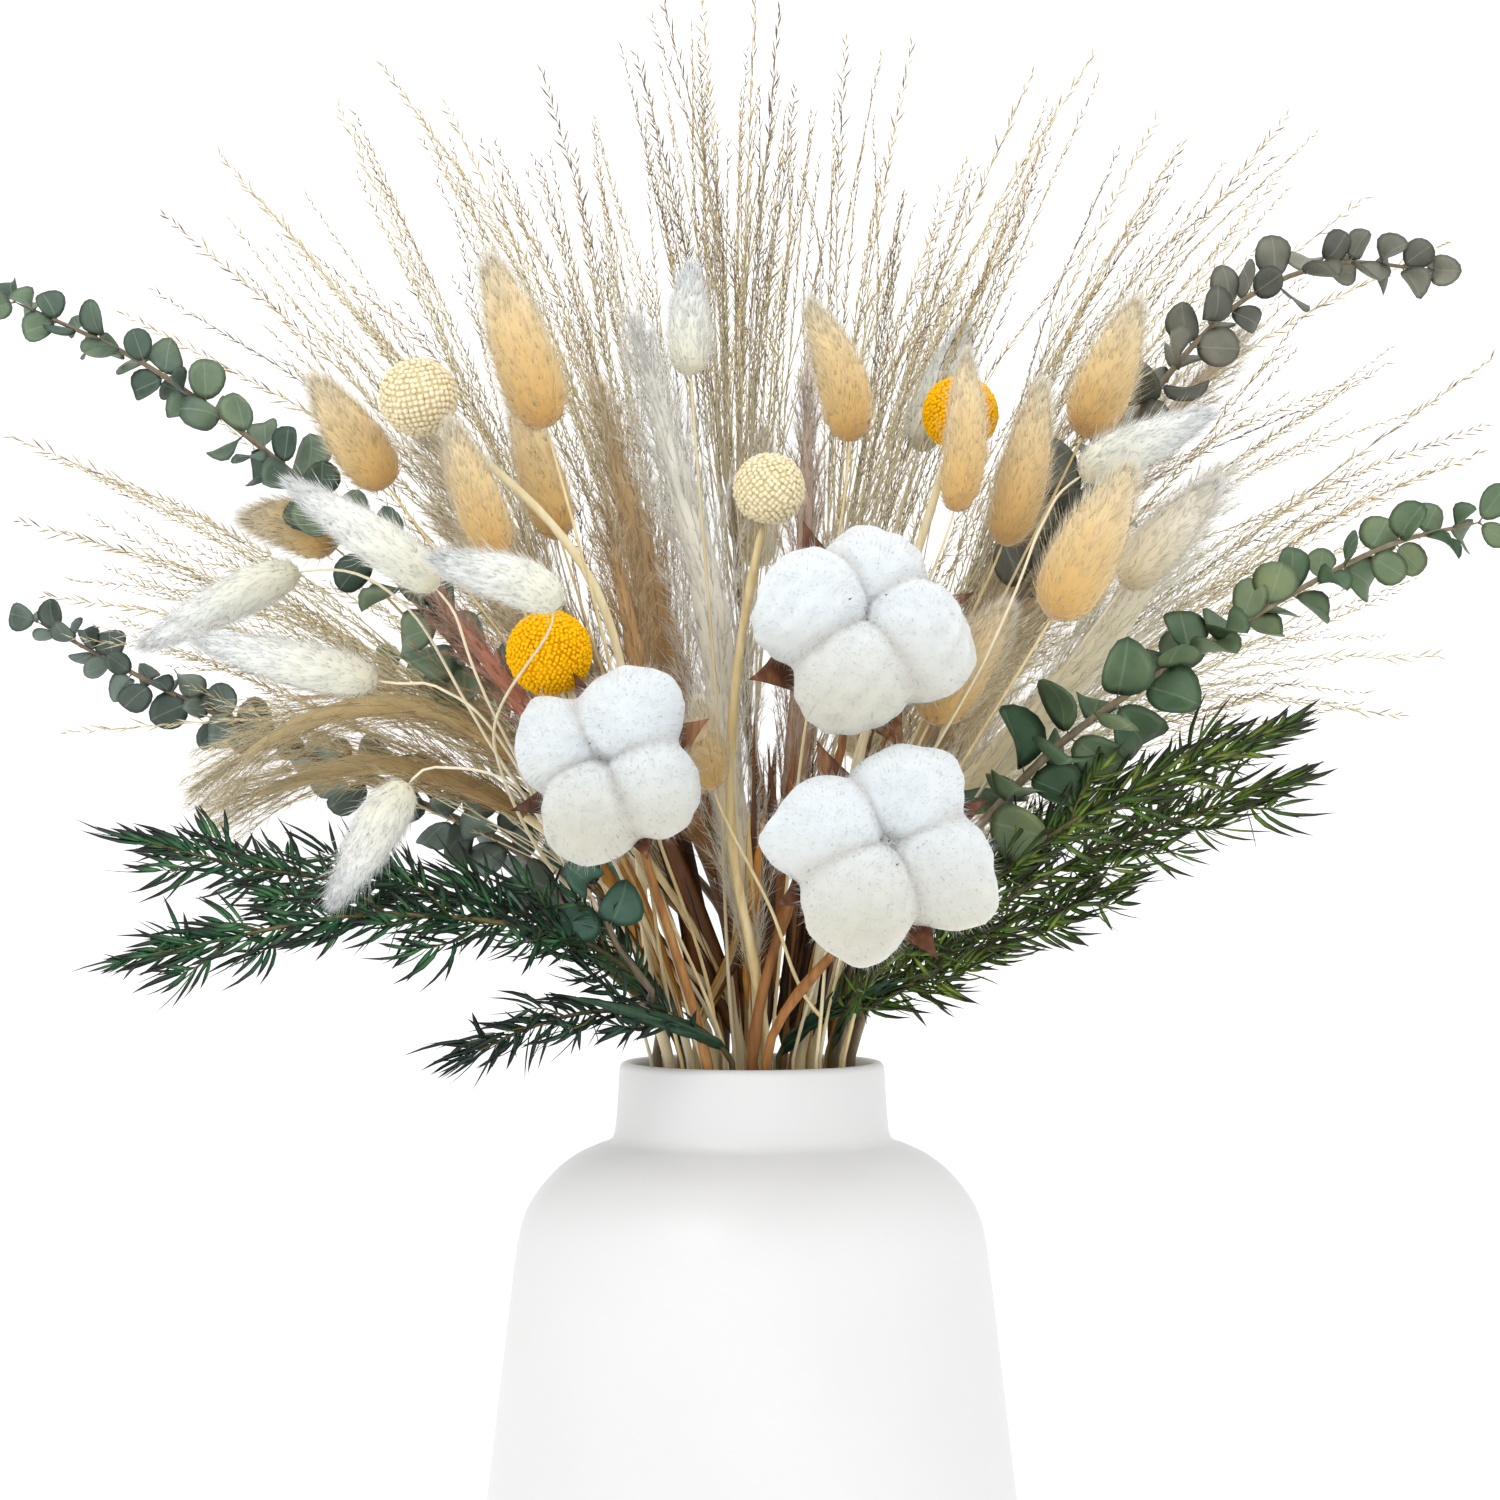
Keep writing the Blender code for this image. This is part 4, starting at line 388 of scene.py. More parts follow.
class Bouquet:
    """Finds room for the plants, one after another, in the order of the table."""

    def __init__(self):
        self.random = np.random.default_rng(SEED)
        self.taken = Rods()
        self.free = list(range(SLOTS))
        self.owner = 0

    def main_stem(self, slot, stem, head, bend, end):
        """A stem's foot, and its curve from the mouth to the end of its head."""
        mouth = slot_place(slot)
        foot = foot_place(mouth)
        neck = np.array((*mouth, MOUTH_LEVEL))
        lean = (head[0] - neck) * (1.0, 1.0, 0.0)
        outwards = NECK_OUT * lean / (np.linalg.norm(lean) + NECK_REACH)
        stem = stem or [(neck + head[0]) / 2 - lean * STEM_BOW]
        start = unit(unit(neck - foot) + NECK_UP + outwards)
        return foot, Curve([neck] + [point + bend for point in stem] + head, start, end)

    def branch(self, main, fork, stem, head, bend):
        """A curve that leaves a stem's side at a fork and ends with its own head."""
        root, heading = main.at(fork), main.heading(fork)
        stem = [point + bend for point in stem or [(root + head[0]) / 2]]
        start = unit(square_to(heading, stem[0] - root) + FORK_FORWARD * heading)
        return Curve([root] + stem + head, start)

    def place(self, name, kind, size, shoots):
        """Places a plant's main stem, and then its branches, each where it is clear of all before it."""
        grown, foot = [], None
        self.owner += 1
        for stem, head in shoots:
            found = self.search(kind, size, stem, head, grown[0] if grown else None)
            if not found:
                raise RuntimeError("no room for " + name)
            foot = foot if grown else found[0]
            grown.append(found[1])
        return foot, grown

    def search(self, kind, size, stem, head, main):
        """Tries a shoot as the table gives it, and then ever further from there."""
        wish = SLOT_REACH * (np.array(head[0]) + head[-1])[:2] / SLOT_SPREAD
        wish *= min(1.0, SLOT_REACH / (np.linalg.norm(wish) + WISH_MARGIN))
        slots = sorted(self.free, key=lambda slot: np.linalg.norm(slot_place(slot) - wish))
        stem = [seen(point) for point in stem]
        head = [seen(point) for point in head]
        end = None
        if kind == "cotton":
            end = cotton_axis(head[0])
            head = [head[0] - end * size * BOLL_STAND]
        for attempt in range(ATTEMPTS):
            spread = attempt / ATTEMPTS
            shift = self.random.normal(0.0, 1.0, 3) * SHIFT_REACH * spread
            bend = self.random.normal(0.0, 1.0, 3) * BEND_REACH * spread ** 0.5
            choice = int(abs(self.random.normal()) * CHOICE_REACH * spread)
            moved = [point + shift for point in head]
            moved_stem = [point + shift * STEM_SHARE for point in stem]
            foot = None
            if main is None:
                slot = slots[min(choice, len(slots) - 1)]
                foot, curve = self.main_stem(slot, moved_stem, moved, bend, end)
            else:
                fork = FORK_LEVEL + FORK_STEP * choice
                curve = self.branch(main.curve, fork, moved_stem, moved, bend)
            head_start = curve.knots[-len(head)] if len(head) > 1 else curve.length
            shoot = Shoot(curve, head_start, STEM_RADIUS[kind])
            first = 0.0 if main is None else FORK_RUN
            rods = Rods.along(curve.at(shoot.stations(first, head_start, STEM_STEP)), shoot.radius)
            if main is None:
                rods = rods.plus(Rods.along(np.array((foot, curve.points[0])), shoot.radius))
            rods = rods.plus(head_rods(kind, size, shoot))
            fork_rods = Rods()
            if main is not None:
                fork_rods = Rods.along(curve.at(FORK_SPAN), shoot.radius + FORK_ROOM)
            if not (rods.clear_of_vase() and self.claim(rods, fork_rods, self.owner)):
                continue
            if main is None:
                self.free.remove(slot)
            return foot, shoot
        return None

    def claim(self, rods, root, owner):
        """Takes the room for rods, and for a root that may touch only its own plant, if it is free."""
        if not (rods.clear_of(self.taken) and root.clear_of(self.taken, owner)):
            return False
        self.taken = self.taken.plus(rods.owned(owner)).plus(root.owned(owner))
        return True


def cotton_axis(centre):
    """The way a boll faces: to the front, up, and a little away from the vase's axis."""
    return unit(np.array((centre[0] * BOLL_TURN, -1.0, BOLL_RISE)))


# Fine forms: closed strands and leaves, made many at a time

def units(vectors):
    return vectors / np.maximum(np.linalg.norm(vectors, axis=-1, keepdims=True), TINY)


def across(headings, hints):
    """Unit vectors at right angles to headings that lean most towards hints."""
    return units(hints - headings * (hints * headings).sum(-1, keepdims=True))


def strand_faces(rings, sides):
    """The triangles of one closed strand: its foot, its bands and its point."""
    faces = [(0, i + 1, i) for i in range(1, sides - 1)]
    for low in range(0, (rings - 1) * sides, sides):
        for i in range(sides):
            j = (i + 1) % sides
            faces += [(low + i, low + j, low + sides + j), (low + i, low + sides + j, low + sides + i)]
    low, tip = (rings - 1) * sides, rings * sides
    return np.array(faces + [(low + i, low + (i + 1) % sides, tip) for i in range(sides)])


def ring_faces(columns, last):
    """The triangles from a first point through rings to the last one, facing out if it begins at the top."""
    faces = []
    for i in range(columns):
        j = (i + 1) % columns
        faces += [(0, 1 + i, 1 + j), (last, last - columns + j, last - columns + i)]
        for low in range(1, last - columns, columns):
            up = low + columns
            faces += [(low + i, up + i, up + j), (low + i, up + j, low + j)]
    return np.array(faces)


class Mass:
    """The triangles of one piece, with three shading values at each point."""

    def __init__(self, random):
        self.random = random
        self.points, self.faces, self.shades, self.finishes = [], [], [], []
        self.count = 0

    def add(self, points, faces, shades, finish):
        points = points.reshape(-1, 3)
        faces = faces.reshape(-1, 3) + self.count
        self.points.append(points)
        self.faces.append(faces)
        self.shades.append(shades.reshape(-1, 3))
        self.finishes.append((finish, len(faces)))
        self.count += len(points)

    def strands(self, paths, radii, finish, luck=None, along=0.5, sides=3, flat=1.0, hints=None):
        """Closed strands through paths of shape (strands, points, 3), each ending in a point."""
        count, steps = paths.shape[:2]
        headings = units(np.gradient(paths, axis=1))
        hints = self.random.normal(size=(count, 3)) if hints is None else hints
        luck = self.random.random(count) if luck is None else luck
        side = across(headings, np.broadcast_to(hints, (count, 3))[:, None])[:, :-1, None]
        other = np.cross(headings[:, :-1, None], side)
        turns = TURN * np.arange(sides)[:, None] / sides
        radii = np.broadcast_to(radii, (count, steps))[:, :-1, None, None]
        rings = paths[:, :-1, None] + radii * (np.cos(turns) * side + flat * np.sin(turns) * other)
        points = np.concatenate((rings.reshape(count, -1, 3), paths[:, -1:]), axis=1)
        shades = np.empty(points.shape)
        shades[..., 0] = np.append(np.repeat(np.linspace(0.0, 1.0, steps)[:-1], sides), 1.0)
        shades[..., 1] = np.broadcast_to(luck, count)[:, None]
        along = along if np.ndim(along) == 2 else np.broadcast_to(along, count)[:, None]
        along = np.broadcast_to(along, (count, steps))
        shades[..., 2] = np.hstack((np.repeat(along[:, :-1], sides, axis=1), along[:, -1:]))
        offsets = points.shape[1] * np.arange(count)[:, None, None]
        self.add(points, strand_faces(steps - 1, sides) + offsets, shades, finish)

    def piece(self, name, slot, nodes, finishes):
        """The gathered triangles as an object that stands for the nodes."""
        points, faces = np.concatenate(self.points) * MM, np.concatenate(self.faces)
        mesh = bpy.data.meshes.new(name)
        mesh.vertices.add(len(points))
        mesh.vertices.foreach_set("co", points.ravel())
        mesh.loops.add(faces.size)
        mesh.loops.foreach_set("vertex_index", faces.ravel().astype(np.int32))
        mesh.polygons.add(len(faces))
        mesh.polygons.foreach_set("loop_start", np.arange(0, faces.size, 3, dtype=np.int32))
        used = list(dict.fromkeys(finish for finish, _ in self.finishes))
        for finish in used:
            mesh.materials.append(finishes[finish])
        indices = np.concatenate([np.full(count, used.index(finish)) for finish, count in self.finishes])
        mesh.polygons.foreach_set("material_index", indices.astype(np.int32))
        mesh.attributes.new("shade", "FLOAT_VECTOR", "POINT")
        mesh.attributes["shade"].data.foreach_set("vector", np.concatenate(self.shades).ravel())
        mesh.update(calc_edges=True)
        mesh.shade_smooth()
        piece = bpy.data.objects.new(name, mesh)
        bpy.context.scene.collection.objects.link(piece)
        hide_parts(*nodes)
        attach(piece, "root")


SPINE_HINT = np.array((0.2, 0.4, 1.0))    # the side of a spine from which its turns are counted
SPINE_REACH = 1.0             # how far either side of a place a spine's heading is taken


class Spine:
    """A stretch of a curve, read from share 0 to share 1 with a frame that hardly turns."""

    def __init__(self, curve, low, high):
        self.curve, self.low, self.span = curve, low, high - low
        self.hint = square_to(unit(curve.at(high) - curve.at(low)), SPINE_HINT)

    def at(self, shares):
        marks = self.low + self.span * np.asarray(shares)
        ahead = self.curve.at(np.minimum(marks + SPINE_REACH, self.curve.length))
        heading = units(ahead - self.curve.at(np.maximum(marks - SPINE_REACH, 0.0)))
        side = across(heading, self.hint)
        return self.curve.at(marks), heading, side, np.cross(heading, side)

    def around(self, shares, turns):
        centre, heading, side, other = self.at(shares)
        return centre, heading, np.cos(turns)[:, None] * side + np.sin(turns)[:, None] * other


RIPPLE_WAVES = 9
RIPPLE_SPREAD = (0.6, 1.6)    # how much one wave's number differs from the middle one's


def ripple(points, wavelength, random):
    """A smooth uneven height between about -1 and 1 at each point, from crossing waves."""
    ways = units(random.normal(size=(RIPPLE_WAVES, 3))) * (TURN / wavelength)
    ways = ways * random.uniform(*RIPPLE_SPREAD, (RIPPLE_WAVES, 1))
    phases = random.uniform(0.0, TURN, RIPPLE_WAVES)
    return np.sin(points @ ways.T + phases).sum(-1) / math.sqrt(RIPPLE_WAVES)


def fan_out(ways, spread, random):
    """Each direction turned a random way by about spread radians."""
    return units(ways + random.normal(0.0, spread, ways.shape))


# Stems

# Each kind's stem: its radii from its foot to its head
STEM_RADII = {"cotton": (2.1, 1.8, 1.4), "craspedia": (2.1, 1.8, 1.4), "tail": (0.75, 0.62, 0.48),
              "plume": (1.6, 1.5, 1.2), "eucalyptus": (1.8, 1.6, 0.7), "fern": (1.3, 1.1, 0.5),
              "reed": (1.5, 1.3, 0.9)}
STEM_INSIDE = 8               # the rings of a stem inside the vase
KNOT_WAVES = 61.0             # a stem's knots, and its slight unevenness, along it
KNOT_SHARPNESS = 16
STEM_KNOTS = {"cotton": 0.35, "craspedia": 0.25, "plume": 0.2}
UNEVEN = 0.05
UNEVEN_WAVES = 37.0


def add_stem(mass, kind, foot, shoot, finish, high=None, sides=8, step=9.0):
    """A stem from its foot, or a branch from its fork, to where its head starts."""
    path = shoot.curve.at(shoot.stations(0.0, high or shoot.head_start, step))
    if foot is not None:
        path = np.vstack((np.linspace(foot, path[0], STEM_INSIDE)[:-1], path))
    share = np.linspace(0.0, 1.0, len(path))
    radii = STEM_RADII[kind]
    width = np.interp(share, np.linspace(0.0, 1.0, len(radii)), radii)
    knots = STEM_KNOTS.get(kind, 0.0) * np.sin(share * KNOT_WAVES) ** KNOT_SHARPNESS
    knotted = 1.0 + knots + UNEVEN * np.sin(share * UNEVEN_WAVES)
    mass.strands(path[None], (width * knotted)[None], finish, sides=sides)


# Tails and plumes

# A tail's half width along it, for a tail of size 1; its core's share of it, and that of its hairs' roots
TAIL_WIDTH = ((0.0, 0.04, 0.14, 0.34, 0.58, 0.78, 0.92, 1.0),
              (0.20, 0.50, 0.75, 0.83, 0.71, 0.49, 0.27, 0.04))
TAIL_CORE = 0.90
TAIL_ROOTS = 0.84
TAIL_END = 0.1                # the core ends this many sizes before the stem's line does
CORE_RINGS = 20
# A tail's hairs: how many, their steps, their length and lean for a tail of size 1, and their radius
TAIL_HAIRS = ((1450, 2, 0.52, 0.95, 0.12), (160, 3, 0.85, 1.8, 0.06))
# How their lean and length go along the tail, and how much one hair differs from the next
TAIL_LEAN = ((0.0, 0.08, 0.3, 0.7, 1.0), (1.7, 1.05, 0.56, 0.44, 0.24))
TAIL_LENGTH = ((0.0, 0.15, 0.9, 1.0), (0.7, 1.0, 0.95, 0.7))
TAIL_CROWDING = 0.9
TAIL_VARIED = (0.75, 1.1)
TAIL_DISORDER = 0.10
TAIL_BEND = 0.2               # how much a hair's end bends to the tip, and how far inwards
TAIL_BEND_IN = 0.3


def grow_tail(mass, shoot, size, finish):
    """A bunny tail: a plump core under short soft hairs that lean to its tip, and a few long ones."""
    random = mass.random
    spine = Spine(shoot.curve, shoot.head_start, shoot.curve.length - TAIL_END * size)
    shares = np.linspace(0.0, 1.0, CORE_RINGS)
    core = TAIL_CORE * size * np.interp(shares, *TAIL_WIDTH)
    mass.strands(spine.at(shares)[0][None], core[None], finish, luck=0.3, along=shares[None], sides=16)
    for count, steps, reach, lift, radius in TAIL_HAIRS:
        shares = random.random(count) ** TAIL_CROWDING
        centre, heading, out = spine.around(shares, random.uniform(0.0, TURN, count))
        width = size * np.interp(shares, *TAIL_WIDTH)
        angle = lift * np.interp(shares, *TAIL_LEAN)[:, None]
        way = fan_out(out * np.sin(angle) + heading * np.cos(angle), TAIL_DISORDER, random)
        length = size * reach * random.uniform(*TAIL_VARIED, count) * np.interp(shares, *TAIL_LENGTH)
        roots = centre + out * (TAIL_ROOTS * width)[:, None]
        along = np.linspace(0.0, 1.0, steps)[None, :, None]
        bend = (heading - out * TAIL_BEND_IN)[:, None] * along ** 2 * TAIL_BEND
        paths = roots[:, None] + (way[:, None] * along + bend) * length[:, None, None]
        mass.strands(paths, radius, finish, along=shares)


# A plume's core along it, and its tufts' length and lean, for a plume of size 1
PLUME_SHARES = (0.0, 0.12, 0.35, 0.65, 0.88, 1.0)
PLUME_CORE = (0.08, 0.40, 0.52, 0.46, 0.26, 0.04)
PLUME_LENGTHS = (1.3, 1.9, 2.1, 1.8, 1.2, 0.8)
PLUME_LEANS = (0.16, 0.30, 0.38, 0.34, 0.26, 0.14)
PLUME_LOWEST = 20.0           # no plume grows nearer to the mouth than this, along its stem
PLUME_END = 0.3
CORE_VARIED = (0.9, 1.1)
TUFT_RATE = 0.8               # tufts to a millimetre of plume
TUFT_STEPS = 5
TUFT_RADII = (0.2, 0.08)
TUFT_ROOTS = 0.7              # the share of the core's width at which tufts are rooted
TUFT_VARIED = (0.7, 1.15)     # how much one tuft's length and lean differ from the next one's
TUFT_LEAN_VARIED = (0.4, 1.25)
TUFT_DISORDER = 0.05
TUFT_PAST = 1.1               # how many sizes the last tufts may reach past the plume's end
TUFT_SAG = np.array((0.0, 0.0, -0.10))    # how a tuft's end falls, spreads and sways
TUFT_SPREAD = 0.07
TUFT_SWAY = 0.05
# The hairs of a tuft: how many, how far along it they grow, and how they spread, reach and shorten
TUFT_HAIRS = 34
HAIR_LAST = 0.9
HAIR_CROWDING = 0.9
HAIR_SPREAD = 0.34
HAIR_REACH = (0.45, 0.95)
HAIR_TAPER = 0.07
HAIR_LUCK = 0.15              # how much one hair's colour differs from its tuft's
HAIR_RADIUS = 0.11


def grow_plume(mass, shoot, size, finish, slender, lower):
    """A silky plume: a slim core, tufts that lean along it and curve out, and fine hairs on every tuft."""
    random = mass.random
    low = max(shoot.head_start - lower * size, PLUME_LOWEST)
    spine = Spine(shoot.curve, low, shoot.curve.length - PLUME_END * size)
    tufts = int(TUFT_RATE * spine.span)
    shares = np.linspace(0.0, 1.0, CORE_RINGS)
    core = size / slender * np.interp(shares, PLUME_SHARES, PLUME_CORE)
    core = core * random.uniform(*CORE_VARIED, CORE_RINGS)
    mass.strands(spine.at(shares)[0][None], core[None], finish, luck=0.1, along=shares[None], sides=10)
    shares = (np.arange(tufts) + random.random(tufts)) / tufts
    centre, heading, out = spine.around(shares, np.arange(tufts) * GOLDEN_ANGLE)
    length = slender * size * np.interp(shares, PLUME_SHARES, PLUME_LENGTHS)
    length = length * random.uniform(*TUFT_VARIED, tufts)
    length = np.minimum(length, (1.0 - shares) * spine.span + TUFT_PAST * size)[:, None, None]
    lean = np.interp(shares, PLUME_SHARES, PLUME_LEANS)[:, None]
    lean = lean * random.uniform(*TUFT_LEAN_VARIED, (tufts, 1)) / slender
    way = fan_out(out * np.sin(lean) + heading * np.cos(lean), TUFT_DISORDER, random)[:, None]
    steps = np.linspace(0.0, 1.0, TUFT_STEPS)[None, :, None]
    sag = TUFT_SAG + out * TUFT_SPREAD + random.normal(0.0, TUFT_SWAY, (tufts, 3))
    roots = centre + out * (TUFT_ROOTS * size * np.interp(shares, PLUME_SHARES, PLUME_CORE))[:, None]
    paths = roots[:, None] + length * (way * steps + sag[:, None] * steps ** 2)
    luck = random.random(tufts)
    mass.strands(paths, np.linspace(*TUFT_RADII, TUFT_STEPS), finish, luck=luck, along=shares)
    places = random.uniform(0.0, HAIR_LAST, (tufts, TUFT_HAIRS)) ** HAIR_CROWDING * (TUFT_STEPS - 1)
    low = np.minimum(places.astype(int), TUFT_STEPS - 2)
    rows = np.arange(tufts)[:, None]
    first, second = paths[rows, low], paths[rows, low + 1]
    roots = first + (second - first) * (places - low)[..., None]
    ways = fan_out(units(second - first), HAIR_SPREAD, random)
    reach = size * random.uniform(*HAIR_REACH, (tufts, TUFT_HAIRS, 1))
    reach = reach * (1.0 - HAIR_TAPER * places[..., None])
    hairs = np.stack((roots, roots + ways * reach), axis=2).reshape(-1, 2, 3)
    luck = np.clip(np.repeat(luck, TUFT_HAIRS) + random.normal(0.0, HAIR_LUCK, len(hairs)), 0.0, 1.0)
    mass.strands(hairs, HAIR_RADIUS, finish, luck=luck, along=np.repeat(shares, TUFT_HAIRS))


# Balls

# A floret's height over the ball's middle and its half width, from its root to its top
FLORET_FORMS = {"craspedia_cream": ((0.94, 1.0, 1.028, 1.036), (0.95, 0.90, 0.56, 0.0)),
                "craspedia_yellow": ((0.95, 1.016, 1.03), (0.95, 0.82, 0.0))}


FLORETS = {"craspedia_cream": 520, "craspedia_yellow": 1000}
BALL_CORE = 0.975             # the core's radius, for a ball of radius 1
BALL_CORE_END = 0.02          # the core's radius at its tip
FLORET_HEIGHTS = 1.93         # how much of the ball's height, which is 2, they cover
FLORET_AREA = 4.6             # the part of the ball's skin that they share out
FLORET_VARIED = (0.88, 1.06)
FLORET_STAND = (0.975, 1.015)
FLORET_DISORDER = 0.015


def grow_ball(mass, centre, axis, size, finish):
    """A craspedia ball: rows of tiny round florets over a core."""
    random = mass.random
    florets = FLORETS[finish]
    side = square_to(axis, np.array((1.0, 0.0, 0.0)))
    other = np.cross(axis, side)
    steps = np.radians(np.linspace(176.0, 0.0, 14))
    path = centre + axis * (np.cos(steps - math.pi) * BALL_CORE * size)[:, None]
    core = BALL_CORE * size * np.sin(steps) + BALL_CORE_END
    mass.strands(path[None], core[None], finish + "_core", luck=0.4, sides=20)
    number = np.arange(florets)
    height = 1.0 - FLORET_HEIGHTS * (number + 0.5) / florets
    flat = np.sqrt(1.0 - height ** 2)
    turn = number * GOLDEN_ANGLE
    ways = (flat * np.cos(turn))[:, None] * side + (flat * np.sin(turn))[:, None] * other
    ways = fan_out(ways + height[:, None] * axis, FLORET_DISORDER, random)
    radius = size * math.sqrt(FLORET_AREA / florets) * random.uniform(*FLORET_VARIED, (florets, 1))
    stand = random.uniform(*FLORET_STAND, (florets, 1))
    levels, widths = FLORET_FORMS[finish]
    paths = centre + ways[:, None] * (stand * np.array(levels))[..., None] * size
    along = np.clip(height * 0.5 + 0.5, 0.0, 1.0)
    mass.strands(paths, radius * np.array(widths), finish, along=along, sides=5)


# Cotton

def boll_frame(shoot, size):
    """A boll's middle, the way it faces, and its two cross directions."""
    axis = shoot.curve.heading(shoot.curve.length)
    centre = shoot.curve.at(shoot.curve.length) + axis * size * BOLL_STAND
    side = square_to(axis, np.array(LOCK_TILT))
    return centre, axis, side, np.cross(axis, side)


def sphere_grid(columns, rows):
    """Directions over a sphere, pole to pole, and the triangles between them."""
    polar = np.linspace(0.0, math.pi, rows + 1)[1:-1]
    turn = TURN * np.arange(columns) / columns
    grid = np.stack((np.sin(polar)[:, None] * np.cos(turn), np.sin(polar)[:, None] * np.sin(turn),
                     np.repeat(np.cos(polar)[:, None], columns, axis=1)), axis=-1).reshape(-1, 3)
    ways = np.vstack(((0.0, 0.0, 1.0), grid, (0.0, 0.0, -1.0)))
    return ways, ring_faces(columns, len(ways) - 1)


# A boll's locks: how far from its axis, their radius, and how far their points are drawn out, for a boll of
# radius 1; and the lint that fills the middle between them
LOCKS = 4
LOCK_PLACE = 0.52
LOCK_RADIUS = (0.54, 0.60)
LOCK_POINT = (0.04, 0.20)
LINT_CORE = 0.28
LOCK_BLEND = 15.0             # how sharply one lock gives way to the next: more is sharper
LOCK_TURN = 0.14              # how unevenly the locks stand round the boll, and up and down
LOCK_SHIFT = 0.12
POINT_TURN = 0.6              # how far beside its lock's middle a point stands, how high, and how sharp
POINT_RISE = (-0.3, 0.2)
POINT_SHARPNESS = 7
BOLL_FORM = (1.0, 1.0, 0.94)
LINT_GRID = (112, 76)
LINT_RIPPLES = ((0.03, 0.9), (0.012, 0.28))    # the height and the length of the lint's uneven waves
# The lint's fibres: how many, how far they lie along it and stand out of it, their roots' depth and radius
LINT_FIBRES = 4200
FIBRE_LIE = (0.4, 2.0)
FIBRE_STAND = (0.6, 4.4)
FIBRE_DEPTH = 0.2
FIBRE_RADIUS = 0.07
# The brown flecks near a boll's middle: how many, how near, their stand, their lengths and their radius
FLECKS = 3
FLECK_FACE = 0.8
FLECK_STAND = 0.1
FLECK_LENGTHS = (1.2, 1.0)
FLECK_RADIUS = 0.35


def grow_lint(mass, shoot, size):
    """Four full locks, each drawn out to a soft point, in one soft skin under short fine fibres."""
    random = mass.random
    centre, axis, side, other = boll_frame(shoot, size)
    ways, faces = sphere_grid(*LINT_GRID)
    places, reaches = [np.zeros(3)], [np.full(len(ways), LINT_CORE)]
    for lock in range(LOCKS):
        turn = TURN * lock / LOCKS + random.normal(0.0, LOCK_TURN)
        place = LOCK_PLACE * unit(np.array((math.cos(turn), math.sin(turn), random.normal(0.0, LOCK_SHIFT))))
        radius = random.uniform(*LOCK_RADIUS)
        ahead = ways @ place
        reach = ahead + np.sqrt(ahead ** 2 + radius ** 2 - LOCK_PLACE ** 2)
        turn += random.choice((-POINT_TURN, POINT_TURN))
        point = unit(np.array((math.cos(turn), math.sin(turn), random.uniform(*POINT_RISE))))
        drawn = np.clip(units(ways * reach[:, None] - place) @ point, 0.0, 1.0) ** POINT_SHARPNESS
        reaches.append(reach * (1.0 + random.uniform(*LOCK_POINT) * drawn))
        places.append(place)
    reach = np.sum(np.power(reaches, LOCK_BLEND), axis=0) ** (1.0 / LOCK_BLEND)
    # How deep in a crease each point lies, which the lint finish turns into painted shade
    crease = np.sort(reaches, axis=0)
    crease = crease[-2] / crease[-1]
    local = ways * reach[:, None] * BOLL_FORM
    coarse, fine = (depth * ripple(local, wavelength, random) for depth, wavelength in LINT_RIPPLES)
    local *= (1.0 + coarse + fine)[:, None]
    normals = units(local - np.array(places)[np.argmax(reaches, axis=0)])
    turned = np.array((side, other, axis))
    points, normals = centre + local @ turned * size, normals @ turned
    # The height, from the boll's bottom to its top, which the lint finish turns into painted shade low down
    height = (points - centre)[:, 2] / size * 0.5 + 0.5
    mass.add(points, faces, np.stack((np.full(len(points), 0.5), height, crease), axis=-1), "lint")
    level = np.linalg.norm(ways[:, :2], axis=1)
    picks = random.choice(len(points), LINT_FIBRES, p=level / level.sum())
    lie = units(np.cross(normals[picks], random.normal(size=(LINT_FIBRES, 3))))
    reach = lie * random.uniform(*FIBRE_LIE, (LINT_FIBRES, 1))
    least, more = FIBRE_STAND
    reach += normals[picks] * (least + more * random.random((LINT_FIBRES, 1)) ** 2)
    roots = points[picks] - normals[picks] * FIBRE_DEPTH
    fibres = np.stack((roots, roots + reach), axis=1)
    mass.strands(fibres, FIBRE_RADIUS, "lint", luck=height[picks], along=crease[picks])
    picks = random.choice(np.flatnonzero(ways[:, 2] > FLECK_FACE), FLECKS)
    roots = points[picks] + normals[picks] * FLECK_STAND
    tips = roots + side * FLECK_LENGTHS[0] - other * FLECK_LENGTHS[1]
    mass.strands(np.stack((roots, tips), axis=1), FLECK_RADIUS, "bract")


# A bract's section along it: the angle from the boll's face in degrees, its reach and its half width
BRACT_ANGLES = (168.0, 146.0, 126.0, 111.0, 102.0, 96.0, 92.0)
BRACT_REACH = np.array((0.62, 0.72, 0.79, 0.87, 0.98, 1.11, 1.24))
BRACT_WIDTHS = np.array((0.12, 0.24, 0.26, 0.20, 0.12, 0.05, 0.0))
BRACT_THICKNESS = 0.16
BRACT_TURN = 0.06             # how unevenly bracts stand round the boll, reach out and bend aside
BRACT_VARIED = (0.94, 1.02)
BRACT_BEND = 1.2
BRACT_BEND_FROM = 3           # the first of its points that bends aside
# The stub under the boll: how far behind the boll's middle its points lie, and its radius there
STUB_PLACES = np.array((0.42, 0.55, 0.63, 0.70, 0.78))
STUB_RADII = np.array((0.36, 0.30, 0.17, 0.09, 0.06))


